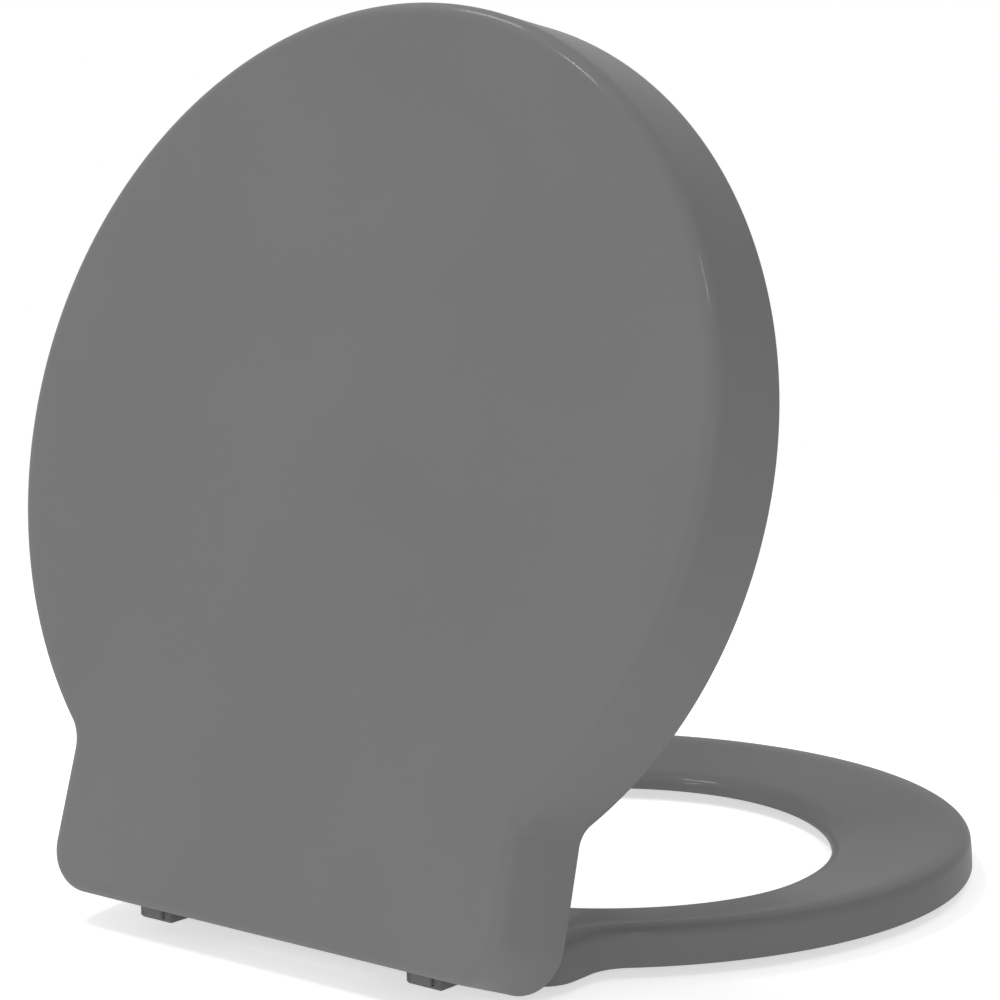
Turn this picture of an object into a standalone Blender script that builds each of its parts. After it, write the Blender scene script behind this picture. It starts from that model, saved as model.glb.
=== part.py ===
"""Round toilet seat with a deep lid that closes over the seat ring.

Metres, +Z up, front of the seat towards -Y.  The origin is on the level that the seat's
buffers stand on, midway between the left and right sides and between front and back of
the seat as it stands with its lid raised.  Seat and lid turn on one hinge line across the
back.  Pieces are drawn from that line: "across" is +X, "ahead" is towards the front (-Y)
and "above" is +Z, all for the closed seat; the lid is then turned open on its pivot.
"""
import math

import bmesh
import bpy
from mathutils import Matrix, Vector

# Lid outline, at the level of its flat face
LID_HALF_WIDTH = 0.1850
LID_FRONT_REACH = 0.1858        # from the widest line to the front
LID_WIDEST_AHEAD = 0.1960       # widest line, ahead of the hinge line
LID_ROUND_END_AHEAD = 0.0091    # where the round lid would end at the back without its tab
TAB_HALF_WIDTH = 0.12435        # square tab behind the round lid, at its rear edge
TAB_TAPER = 0.0253              # the tab narrows forwards by this share of its length
TAB_REAR_BEHIND = 0.0103        # rear edge of the tab, behind the hinge line
TAB_CORNER_RADIUS = 0.0187
TAB_HOLLOW_RADIUS = 0.0162      # inside curve where the tab meets the round lid

# Lid section
LID_FACE_ABOVE = 0.0238         # outer face above the hinge line
LID_DEPTH = 0.0398              # from the face to the open rim
LID_FLARE = 0.0034              # the wall leans out by this much down to the rim
LID_EDGE_RADIUS = 0.00675       # round edge between face and wall
LID_WALL = 0.0040
LID_OPEN_ANGLE = math.radians(74.2)
SKIRT_CORNER = 0.02135          # rear wall is full depth this far in from the tab's sides
SKIRT_ABOVE = -0.0085           # lower edge of the shorter rear wall between the corners
NOTCH_GAP = 0.0010              # rear wall's notch beside the seat's lug
NOTCH_RISE = 0.0010             # the notches end this far up the rounded edge

# Seat ring
SEAT_INSET = 0.0060             # seat's lower edge inside the lid's outline
SEAT_REAR_AHEAD = 0.0195        # rear edge of the seat's own tab, ahead of the hinge line
SEAT_CORNER_ROUND = 0.0025      # the corner's radius is this much more than the slope's inset
SEAT_BOTTOM = -0.0160           # underside, from the hinge line
SEAT_CREST = 0.0161             # height of the crest near the outer edge
SEAT_CREST_DROP = 0.0004        # the dish begins this far below the crest
SEAT_EDGE_RADIUS = 0.0044
SEAT_LAND = 0.0006              # small flat turn at the lower edges
SEAT_LEAN = 0.0008              # the outer wall leans in by this much
SEAT_CREST_INSET = 0.0095       # from the outer edge to the crest
SEAT_SLOPE_INSET = 0.0140       # from the outer edge to where the dish begins
SEAT_LIP = 0.0088               # height where the top surface turns down into the hole
SEAT_LIP_WIDTH = 0.0100
SEAT_SKIN = 0.0031
SEAT_RIB = 0.0018
RIB_ANGLES = (0, 24, 48, 72, 96, 118)     # degrees from the front, mirrored
RING_WIDTH_SIDE = 0.0697        # from the lid's outline in to the hole, at the sides
RING_WIDTH_FRONT = 0.0615       # the same at the front
HOLE_REAR_AHEAD = 0.0842        # rear edge of the hole, ahead of the hinge line
HOLE_WIDEST_BACK = 0.0070       # the hole's widest line, behind the lid's
HOLE_SQUARENESS = 1.945         # 2 is a true ellipse

# Buffers
BUFFER_ROUND = 0.0012           # rounded edges of the rubber
SEAT_BUFFER_HEIGHT = 0.0055     # the seat's underside stands this high
SEAT_BUFFER_RADIUS = 0.0080
SEAT_BUFFER_DRAFT = 0.0006      # narrower at the foot by this much
SEAT_BUFFER_STEM = 0.0023
SEAT_BUFFER_STEM_LENGTH = 0.0045
SEAT_BOSS_WALL = 0.0027
SEAT_FRONT_BUFFER_ANGLE = 32    # degrees from the front, mirrored
SEAT_BUFFER_OUTSET = 0.0330     # front buffers, from the hole's edge
SEAT_REAR_BUFFER_ACROSS = 0.0550
SEAT_REAR_BUFFER_AHEAD = 0.0580
LID_BUFFER_RADIUS = 0.0080
LID_BUFFER_FOOT = 0.0032        # rubber under the end of the peg
LID_BUFFER_GRIP = 0.0060        # rubber around the peg
LID_PEG_RADIUS = 0.0055
LID_PEG_COLLAR = 0.0069         # shoulder that the rubber stops below
LID_PEG_ROOT = 0.0083
LID_BUFFER_ANGLES = (28, 112)   # degrees from the front, mirrored
LID_BUFFER_INSET = 0.0175

# Hinges
HINGE_ACROSS = 0.0750           # middle of each hinge post
POST_WIDTH = 0.0180
POST_BOSS_RADIUS = 0.0090
POST_FOOT_ABOVE = -0.0157       # underside of the post, on the fixing disc of the bowl
POST_BEHIND = 0.0072
POST_AHEAD = 0.0105
POST_FOOT_CHAMFER = 0.0030
POST_HEEL_CHAMFER = 0.0012
POST_WAIST_BEHIND = -0.0030     # the round boss meets the straight back here
POST_WAIST_AHEAD = -0.0040      # and the straight front here
POST_EDGE = 0.0006
PIN_RADIUS = 0.0030
PIN_REACH = 0.0140              # out of each side of the post
PIN_FLAT = 0.0022               # half thickness across the flats
PIN_ROUND_PART = 0.0030         # round part beside the post, before the flats
STUD_SOCKET_RADIUS = 0.0046
STUD_SOCKET_DEPTH = 0.0100
LUG_RADIUS = 0.0095
LUG_BORE = 0.0073
LUG_LENGTH = 0.0275
LUG_END_WALL = 0.0018
LUG_GAP = 0.0005                # between a lug and the post beside it
LID_LUG_BEHIND = 0.0070         # where the lid's lug meets the face
LID_LUG_AHEAD = 0.0150
KEY_HALF_WIDTH = 0.0011
KEY_HEIGHT = 0.0009
KEY_STOP = 0.0008               # the keyway ends this far before the bore
KEY_SHORT = 0.0020              # the key ends this far before the housing
BARREL_WALL = 0.0017
CAP_THICKNESS = 0.0022
CAP_SPIGOT = 0.0012
ROTOR_DRUM_RADIUS = 0.0048
ROTOR_NECK_RADIUS = 0.0042
TURNED_EDGE = 0.0005            # bevelled edge of the small turned pieces

# Release button in the back of each post
BUTTON_TRAVEL = 0.0018
BUTTON_PROUD = 0.0020
BUTTON_HALF_WIDTH = 0.0052
BUTTON_HALF_HEIGHT = 0.0026
BUTTON_EDGE = 0.0007
BUTTON_ABOVE = -0.0112
BUTTON_POCKET_OVER = 0.0012     # the pocket reaches this far over the stud's socket
CATCH_HALF_HEIGHT = 0.0014
CATCH_SIDE_STEP = 0.0004        # catch plate narrower than the button, each side
CATCH_ROOT = 0.0008             # catch plate's depth inside the button
CATCH_BITE = 0.0006             # the catch's eye is this much tighter than the socket
CATCH_WEB = 0.0020              # catch plate ahead of its hole
POST_FRONT_WALL = 0.0012
SPRING_RADIUS = 0.0016
SPRING_WIRE = 0.00025
SPRING_TURNS = 4
SPRING_STEPS = 6                # straight steps in one turn

CLEARANCE = 0.0003
RUNNING = 0.0004                # round a part that turns
OVERCUT = 0.0010                # cutters reach this far past what they cut
SMOOTH_ANGLE = math.radians(35)
TURNED_SEGMENTS = 20
BUFFER_SEGMENTS = 16

LID_REAR_REACH = LID_WIDEST_AHEAD - LID_ROUND_END_AHEAD
SKIRT_FULL_FROM = TAB_HALF_WIDTH - SKIRT_CORNER
HOLE_HALF_WIDTH = LID_HALF_WIDTH - RING_WIDTH_SIDE
HOLE_CENTRE_AHEAD = LID_WIDEST_AHEAD - HOLE_WIDEST_BACK
HOLE_FRONT_REACH = LID_FRONT_REACH + HOLE_WIDEST_BACK - RING_WIDTH_FRONT
HOLE_REAR_REACH = HOLE_CENTRE_AHEAD - HOLE_REAR_AHEAD
SEAT_CORNER_RADIUS = SEAT_SLOPE_INSET + SEAT_CORNER_ROUND
SEAT_TOP = SEAT_BOTTOM + SEAT_CREST
LUG_DEPTH = LUG_LENGTH - LUG_END_WALL       # of the blind bore
AXIS_ABOVE_FLOOR = SEAT_BUFFER_HEIGHT - SEAT_BOTTOM
SEAT_FRONT_AHEAD = LID_WIDEST_AHEAD + LID_FRONT_REACH - SEAT_INSET
LID_REAR_WHEN_OPEN = (
    (LID_FACE_ABOVE - LID_EDGE_RADIUS) * math.sin(LID_OPEN_ANGLE)
    + (TAB_REAR_BEHIND - LID_EDGE_RADIUS) * math.cos(LID_OPEN_ANGLE)
    + LID_EDGE_RADIUS)
AXIS_BEHIND_CENTRE = (SEAT_FRONT_AHEAD - LID_REAR_WHEN_OPEN) / 2


# Scene, collections and materials

for leftover in list(bpy.data.objects):
    bpy.data.objects.remove(leftover, do_unlink=True)

parts = bpy.data.collections.new("toilet_seat")
cutters = bpy.data.collections.new("cutters")
bpy.context.scene.collection.children.link(parts)
bpy.context.scene.collection.children.link(cutters)


def material(name, colour, roughness, metallic=0.0):
    """A plain Principled material."""
    made = bpy.data.materials.new(name)
    made.use_nodes = True
    shader = made.node_tree.nodes["Principled BSDF"]
    shader.inputs["Base Color"].default_value = (*colour, 1.0)
    shader.inputs["Roughness"].default_value = roughness
    shader.inputs["Metallic"].default_value = metallic
    return made


LID_PLASTIC = material("lid_plastic", (0.19, 0.19, 0.195), 0.30)
SEAT_PLASTIC = material("seat_plastic", (0.17, 0.17, 0.175), 0.28)
POST_PLASTIC = material("post_plastic", (0.12, 0.12, 0.125), 0.45)
BUTTON_PLASTIC = material("button_plastic", (0.30, 0.30, 0.31), 0.40)
BUFFER_RUBBER = material("buffer_rubber", (0.62, 0.62, 0.62), 0.65)
DAMPER_PLASTIC = material("damper_plastic", (0.75, 0.75, 0.73), 0.35)
ROTOR_PLASTIC = material("rotor_plastic", (0.05, 0.05, 0.05), 0.40)
BUSH_PLASTIC = material("bush_plastic", (0.80, 0.80, 0.78), 0.45)
PIN_STEEL = material("pin_steel", (0.55, 0.56, 0.58), 0.25, 1.0)
SPRING_STEEL = material("spring_steel", (0.50, 0.50, 0.52), 0.30, 1.0)


def pivot(name, parent=None, turn=0.0):
    """An empty on the hinge line; turn opens what hangs on it."""
    empty = bpy.data.objects.new(name, None)
    empty.empty_display_size = 0.03
    parts.objects.link(empty)
    if parent:
        empty.parent = parent
    else:
        empty.location = (0, AXIS_BEHIND_CENTRE, AXIS_ABOVE_FLOOR)
    empty.rotation_euler = (-turn, 0, 0)
    return empty


hinge_line = pivot("hinge_line")
seat_pivot = pivot("seat_pivot", hinge_line)
lid_pivot = pivot("lid_pivot", seat_pivot, LID_OPEN_ANGLE)


# Helpers: every mesh is drawn about the hinge line as (across, -ahead, above)

def point(across, ahead, above):
    return Vector((across, -ahead, above))


def add_piece(name, mesh, parent, finish, collection=parts):
    piece = bpy.data.objects.new(name, mesh)
    collection.objects.link(piece)
    piece.parent = parent
    if finish:
        mesh.materials.clear()
        mesh.materials.append(finish)
    mesh.shade_smooth()
    mesh.set_sharp_from_angle(angle=SMOOTH_ANGLE)
    return piece


def add_cutter(name, mesh, parent):
    cutter = add_piece(name, mesh, parent, None, cutters)
    cutter.hide_render = True
    cutter.display_type = "WIRE"
    return cutter


def boolean(piece, other, operation):
    step = piece.modifiers.new(other.name, "BOOLEAN")
    step.operation = operation
    step.solver = "EXACT"
    step.object = other


def cut(piece, name, mesh, parent):
    boolean(piece, add_cutter(name, mesh, parent), "DIFFERENCE")


def join(piece, name, mesh, parent):
    boolean(piece, add_cutter(name, mesh, parent), "UNION")


def outward(mesh):
    """The mesh with every face turned to the outside."""
    shape = bmesh.new()
    shape.from_mesh(mesh)
    bmesh.ops.recalc_face_normals(shape, faces=shape.faces)
    shape.to_mesh(mesh)
    shape.free()
    return mesh


def finished_mesh(piece):
    """The piece's mesh with its modifiers worked in; the piece itself is taken away."""
    graph = bpy.context.evaluated_depsgraph_get()
    mesh = bpy.data.meshes.new_from_object(piece.evaluated_get(graph))
    mesh.transform(piece.matrix_world)
    bpy.data.objects.remove(piece, do_unlink=True)
    shape = bmesh.new()
    shape.from_mesh(mesh)
    bmesh.ops.remove_doubles(shape, verts=shape.verts, dist=1e-6)
    shape.to_mesh(mesh)
    shape.free()
    return outward(mesh)


def together(meshes):
    """Several closed meshes as one, to be cut or joined in one step."""
    shape = bmesh.new()
    for mesh in meshes:
        shape.from_mesh(mesh)
    merged = bpy.data.meshes.new("together")
    shape.to_mesh(merged)
    shape.free()
    return merged


def slab(outline, across_from, across_to):
    """A flat outline in the side view, (ahead, above), as thick as the span across."""
    drawing = bpy.data.curves.new("slab", "CURVE")
    drawing.dimensions = "2D"
    drawing.fill_mode = "BOTH"
    drawing.extrude = (across_to - across_from) / 2
    line = drawing.splines.new("POLY")
    line.points.add(len(outline) - 1)
    line.use_cyclic_u = True
    for knot, (ahead, above) in zip(line.points, outline):
        knot.co = (ahead, above, 0, 1)
    plate = bpy.data.objects.new("slab", drawing)
    parts.objects.link(plate)
    bpy.context.view_layer.update()
    mesh = finished_mesh(plate)
    # drawing (x, y, z) becomes (across, -ahead, above)
    mesh.transform(Matrix(((0, 0, 1, (across_from + across_to) / 2),
                           (-1, 0, 0, 0),
                           (0, 1, 0, 0),
                           (0, 0, 0, 1))))
    return outward(mesh)


def box(across, ahead, above, edge=0.0):
    """A block from three (low, high) spans, with rounded edges where an edge is given."""
    shape = bmesh.new()
    bmesh.ops.create_cube(shape, size=1.0)
    size = Vector((across[1] - across[0], ahead[1] - ahead[0], above[1] - above[0]))
    middle = point(sum(across) / 2, sum(ahead) / 2, sum(above) / 2)
    bmesh.ops.scale(shape, vec=size, verts=shape.verts)
    bmesh.ops.translate(shape, vec=middle, verts=shape.verts)
    if edge:
        bmesh.ops.bevel(shape, geom=shape.edges, offset=edge, segments=2,
                        affect="EDGES", profile=0.5)
    mesh = bpy.data.meshes.new("box")
    shape.to_mesh(mesh)
    shape.free()
    return mesh


def turned(profile, start, direction, segments=TURNED_SEGMENTS):
    """A turned piece: profile of (radius, distance) along a direction from a start point.

    The profile runs down the outer side, from the far end to the near end.  One that
    starts and ends off the axis is closed on itself, as a ring.
    """
    drawing = bpy.data.meshes.new("profile")
    count = len(profile)
    edges = [(i, i + 1) for i in range(count - 1)]
    if profile[0][0] > 0 and profile[-1][0] > 0:
        edges.append((count - 1, 0))
    drawing.from_pydata([(radius, 0, distance) for radius, distance in profile], edges, [])
    blank = bpy.data.objects.new("turned", drawing)
    parts.objects.link(blank)
    screw = blank.modifiers.new("Screw", "SCREW")
    screw.steps = segments
    screw.render_steps = segments
    screw.use_merge_vertices = True
    screw.merge_threshold = 1e-6
    bpy.context.view_layer.update()
    mesh = finished_mesh(blank)
    towards = Vector(direction).to_track_quat("Z", "Y").to_matrix().to_4x4()
    mesh.transform(Matrix.Translation(start) @ towards)
    return outward(mesh)


def rod(radius, start, direction, length):
    return turned([(0, length), (radius, length), (radius, 0), (0, 0)], start, direction)


# Outlines, seen from above, as (across, ahead, normal across, normal ahead)

def arc(centre, radius, first, last, count, hollow=False):
    """Points on an arc; on a hollow curve the outward normal faces the centre."""
    points = []
    for i in range(count):
        turn = math.radians(first + (last - first) * i / (count - 1))
        along, up = math.cos(turn), math.sin(turn)
        side = -1 if hollow else 1
        points.append((centre[0] + radius * along, centre[1] + radius * up,
                       side * along, side * up))
    return points


def lid_ellipse(turn):
    """Point and normal of the round lid; turn 0 is the right side, 90 the front."""
    reach = LID_FRONT_REACH if turn >= 0 else LID_REAR_REACH
    along, up = math.cos(math.radians(turn)), math.sin(math.radians(turn))
    normal = Vector((along / LID_HALF_WIDTH, up / reach)).normalized()
    return (LID_HALF_WIDTH * along, LID_WIDEST_AHEAD + reach * up, normal.x, normal.y)


def tab_side(ahead):
    """Distance across of the tab's side."""
    return TAB_HALF_WIDTH - TAB_TAPER * (ahead + TAB_REAR_BEHIND)


def hollow_curve():
    """Centre of the inside curve between tab and lid, and where it meets the lid."""
    lean = math.atan(TAB_TAPER)
    low, high = -85.0, -10.0
    for _ in range(50):
        turn = (low + high) / 2
        x, y, nx, ny = lid_ellipse(turn)
        centre = (x + TAB_HOLLOW_RADIUS * nx, y + TAB_HOLLOW_RADIUS * ny)
        gap = (centre[0] - tab_side(centre[1])) * math.cos(lean) - TAB_HOLLOW_RADIUS
        if gap > 0:
            high = turn
        else:
            low = turn
    return centre, turn, math.degrees(lean)


def half_outline(rear_ahead, corner_radius, inset):
    """Right half of an outline inside the lid's, from the rear middle to the front."""
    centre, meeting, lean = hollow_curve()
    corner_ahead = rear_ahead + corner_radius
    corner_across = tab_side(corner_ahead) - inset - corner_radius
    rear_points, side_points, round_points = 6, 2, 25
    points = [(corner_across * i / rear_points, rear_ahead, 0, -1) for i in range(rear_points)]
    points += arc((corner_across, corner_ahead), corner_radius, -90, lean, 7)
    facing = math.cos(math.radians(lean)), math.sin(math.radians(lean))
    for i in range(1, side_points + 1):
        ahead = corner_ahead + (centre[1] - corner_ahead) * i / (side_points + 1)
        points.append((tab_side(ahead) - inset, ahead, *facing))
    meet = lid_ellipse(meeting)
    end = math.degrees(math.atan2(meet[1] - centre[1], meet[0] - centre[0])) % 360
    points += arc(centre, TAB_HOLLOW_RADIUS + inset, 180 + lean, end, 6, hollow=True)
    for i in range(1, round_points + 1):
        x, y, nx, ny = lid_ellipse(meeting + (90 - meeting) * i / round_points)
        points.append((x - nx * inset, y - ny * inset, nx, ny))
    return points


def whole_outline(half):
    """Both sides, counter-clockwise from the rear middle."""
    mirrored = [(-x, y, -nx, ny) for x, y, nx, ny in half[1:-1]]
    return half + mirrored[::-1]


def loop(outline, outset, above):
    """The outline moved out along its normals, at a height."""
    return [point(x + nx * outset, y + ny * outset, above) for x, y, nx, ny in outline]


def between(first, second, share):
    return [a.lerp(b, share) for a, b in zip(first, second)]


def loft(rows, closed=False, cap_last=False):
    """Skin over loops of equal count; closed joins the last loop to the first."""
    shape = bmesh.new()
    grid = [[shape.verts.new(v) for v in row] for row in rows]
    count = len(rows[0])
    pairs = list(zip(grid, grid[1:]))
    if closed:
        pairs.append((grid[-1], grid[0]))
    for low, high in pairs:
        for i in range(count):
            j = (i + 1) % count
            shape.faces.new((low[i], high[i], high[j], low[j]))
    if cap_last:
        shape.faces.new(grid[-1][::-1])
    # flat triangles, so that later cuts meet the skin exactly
    bmesh.ops.triangulate(shape, faces=[face for face in shape.faces if len(face.verts) == 4])
    mesh = bpy.data.meshes.new("loft")
    shape.to_mesh(mesh)
    shape.free()
    return mesh


LID_OUTLINE = whole_outline(half_outline(-TAB_REAR_BEHIND, TAB_CORNER_RADIUS, 0.0))
SEAT_OUTLINE = whole_outline(half_outline(SEAT_REAR_AHEAD, SEAT_CORNER_RADIUS, SEAT_INSET))


# Lid: one deep moulded shell, open below

def lid_shell():
    draft = math.atan(LID_FLARE / LID_DEPTH)
    tangent = LID_EDGE_RADIUS * math.tan((math.pi / 2 - draft) / 2)
    edge_steps = 4
    rows = [loop(LID_OUTLINE, LID_FLARE, LID_FACE_ABOVE - LID_DEPTH)]
    for i in range(edge_steps + 1):
        turn = (math.pi / 2 - draft) * (1 - i / edge_steps)
        outset = -tangent + LID_EDGE_RADIUS * math.sin(turn)
        above = LID_FACE_ABOVE - LID_EDGE_RADIUS * (1 - math.cos(turn))
        rows.append(loop(LID_OUTLINE, outset, above))
    shell = add_piece("lid_shell", loft(rows, cap_last=True), lid_pivot, LID_PLASTIC)
    wall = shell.modifiers.new("Wall", "SOLIDIFY")
    wall.thickness = LID_WALL
    wall.offset = -1
    wall.use_even_offset = True
    return shell


def rear_cuts(shell):
    """The rear wall is shorter between the corners and open round posts and seat lugs."""
    through = (-TAB_REAR_BEHIND - LID_FLARE - 2 * OVERCUT, TAB_CORNER_RADIUS - TAB_REAR_BEHIND)
    below = LID_FACE_ABOVE - LID_DEPTH - OVERCUT
    cut(shell, "skirt_cut",
        box((-SKIRT_FULL_FROM, SKIRT_FULL_FROM), through, (below, SKIRT_ABOVE)), lid_pivot)
    notch_top = LID_FACE_ABOVE - LID_EDGE_RADIUS + NOTCH_RISE
    near = HINGE_ACROSS - POST_WIDTH / 2 - LUG_GAP - LUG_LENGTH - NOTCH_GAP
    # a hair short of the lid's own lug, so that the cut doesn't mark its face
    far = HINGE_ACROSS + POST_WIDTH / 2 + LUG_GAP - CLEARANCE / 3
    notches = []
    for side in (-1, 1):
        span = sorted((side * near, side * far))
        notches.append(box(span, through, (below, notch_top)))
    cut(shell, "hinge_notches", together(notches), lid_pivot)


def lug_spans(outer):
    """Left and right spans across of the lugs outside or inside the posts."""
    start = HINGE_ACROSS + (POST_WIDTH / 2 + LUG_GAP) * (1 if outer else -1)
    end = start + LUG_LENGTH * (1 if outer else -1)
    return {"right": (start, end), "left": (-start, -end)}


def lug_bores(piece, name, spans, parent, key_turn):
    """Blind bores from the lugs' mouths, each with a keyway at one side."""
    bores, keyways = [], []
    half = KEY_HALF_WIDTH + CLEARANCE
    for mouth, end in spans:
        way = 1 if end > mouth else -1
        start = point(mouth - way * OVERCUT, 0, 0)
        bores.append(rod(LUG_BORE, start, (way, 0, 0), LUG_DEPTH + OVERCUT))
        span = sorted((mouth - way * OVERCUT, mouth + way * (LUG_DEPTH - KEY_STOP)))
        key = box(span, (0, LUG_BORE + KEY_HEIGHT + CLEARANCE), (-half, half))
        key.transform(Matrix.Rotation(-key_turn, 4, "X"))
        keyways.append(key)
    cut(piece, name + "_bores", together(bores), parent)
    cut(piece, name + "_keyways", together(keyways), parent)


def lid_lug_outline():
    """Side view of a lug that hangs from the lid's face around the hinge line."""
    steps = 12
    points = []
    for i in range(steps + 1):
        turn = math.pi + math.pi * i / steps
        points.append((LUG_RADIUS * math.cos(turn), LUG_RADIUS * math.sin(turn)))
    top = LID_FACE_ABOVE - LID_WALL / 2
    return points + [(LID_LUG_AHEAD, top), (-LID_LUG_BEHIND, top)]


def lid_lugs(shell):
    spans = lug_spans(outer=True).values()
    lugs = [slab(lid_lug_outline(), *sorted(span)) for span in spans]
    join(shell, "lid_lugs", together(lugs), lid_pivot)
    lug_bores(shell, "lid_lug", spans, lid_pivot, math.pi / 2)


def on_both_sides(front, rear):
    """Named spots on the left and right from one at the front and one at the rear."""
    places = {}
    for where, (across, ahead) in (("front", front), ("rear", rear)):
        places[where + "_left"] = (-across, ahead)
        places[where + "_right"] = (across, ahead)
    return places


def lid_buffer_places():
    spots = []
    for angle in LID_BUFFER_ANGLES:
        x, y, nx, ny = seat_edge(angle)
        spots.append((x - nx * LID_BUFFER_INSET, y - ny * LID_BUFFER_INSET))
    return on_both_sides(*spots)


def lid_pegs(shell):
    """Pegs that carry the lid's buffers, moulded under the face."""
    end = SEAT_TOP + LID_BUFFER_FOOT + 2 * CLEARANCE
    collar = end + LID_BUFFER_GRIP
    top = LID_FACE_ABOVE - LID_WALL / 2
    profile = [(0, top), (LID_PEG_ROOT, top), (LID_PEG_COLLAR, collar + OVERCUT),
               (LID_PEG_RADIUS, collar), (LID_PEG_RADIUS, end), (0, end)]
    pegs = [turned(profile, point(across, ahead, 0), (0, 0, 1), BUFFER_SEGMENTS)
            for across, ahead in lid_buffer_places().values()]
    join(shell, "lid_pegs", together(pegs), lid_pivot)


def lid_buffers():
    """Rubber cups on the lid's pegs."""
    low = SEAT_TOP + CLEARANCE
    floor = low + LID_BUFFER_FOOT
    top = floor + LID_BUFFER_GRIP
    inner, outer = LID_PEG_RADIUS + CLEARANCE, LID_BUFFER_RADIUS
    profile = [(0, floor), (inner, floor), (inner, top), (outer - BUFFER_ROUND / 2, top),
               (outer, top - BUFFER_ROUND), (outer, low + BUFFER_ROUND),
               (outer - BUFFER_ROUND, low), (0, low)]
    for name, (across, ahead) in lid_buffer_places().items():
        mesh = turned(profile, point(across, ahead, 0), (0, 0, 1), BUFFER_SEGMENTS)
        add_piece("lid_buffer_" + name, mesh, lid_pivot, BUFFER_RUBBER)


# Seat ring: dished top, ribbed and hollow below

def hole_point(turn):
    """Edge of the hole; turn 0 is the right side, a quarter turn the front."""
    def at(angle):
        c, s = math.cos(angle), math.sin(angle)
        reach = HOLE_FRONT_REACH if s >= 0 else HOLE_REAR_REACH
        power = HOLE_SQUARENESS
        size = (abs(c / HOLE_HALF_WIDTH) ** power + abs(s / reach) ** power) ** (-1 / power)
        return Vector((size * c, HOLE_CENTRE_AHEAD + size * s))
    here = at(turn)
    along = (at(turn + 1e-4) - at(turn - 1e-4)).normalized()
    return (here.x, here.y, along.y, -along.x)


def hole_outline():
    """One hole point for each point of the seat's outline, in the same direction."""
    points = []
    for x, y, _, _ in SEAT_OUTLINE:
        points.append(hole_point(math.atan2(y - HOLE_CENTRE_AHEAD, x)))
    return points


def hole_turn_at(across):
    """Turn of the point on the rear half of the hole at a distance across."""
    low, high = -math.pi / 2, 0.0
    for _ in range(40):
        turn = (low + high) / 2
        if hole_point(turn)[0] < across:
            low = turn
        else:
            high = turn
    return turn


def seat_edge(angle):
    """Point and normal of the seat's outline at an angle from the front, on the right."""
    wanted = math.radians(90 - angle)

    def turn(spot):
        return math.atan2(spot[1] - HOLE_CENTRE_AHEAD, spot[0])

    right = [spot for spot in SEAT_OUTLINE if spot[0] > -1e-6]
    for before, after in zip(right, right[1:]):
        if turn(before) <= wanted <= turn(after):
            share = (wanted - turn(before)) / (turn(after) - turn(before))
            return tuple(a + (b - a) * share for a, b in zip(before, after))
    return right[-1]


def dish_height(share):
    """Height of the top between the crest (share 0) and the lip (share 1)."""
    start = SEAT_CREST - SEAT_CREST_DROP
    return start + (SEAT_LIP - start) * share


def dish_height_at(across, ahead):
    """Height of the dished top over a spot on the right."""
    angle = math.atan2(across, ahead - HOLE_CENTRE_AHEAD)
    x, y, nx, ny = seat_edge(math.degrees(angle))
    crest = Vector((x - nx * SEAT_SLOPE_INSET, y - ny * SEAT_SLOPE_INSET))
    x, y, nx, ny = hole_point(math.pi / 2 - angle)
    lip = Vector((x + nx * SEAT_LIP_WIDTH, y + ny * SEAT_LIP_WIDTH))
    slope = lip - crest
    return dish_height((Vector((across, ahead)) - crest).dot(slope) / slope.length_squared)


def lip_curve(steps):
    """The rounded inner edge, (outset from the hole, height above the underside)."""
    full, upper, lower = 0.55, 0.913, 0.614     # how full the curve is, as shares
    knots = ((SEAT_LIP_WIDTH, SEAT_LIP), (SEAT_LIP_WIDTH * full, SEAT_LIP * upper),
             (0.0, SEAT_LIP * lower), (0.0, SEAT_LAND))
    curve = []
    for i in range(1, steps + 1):
        t = i / steps
        weights = ((1 - t) ** 3, 3 * t * (1 - t) ** 2, 3 * t * t * (1 - t), t ** 3)
        curve.append(tuple(sum(w * k[n] for w, k in zip(weights, knots)) for n in (0, 1)))
    return curve


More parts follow.
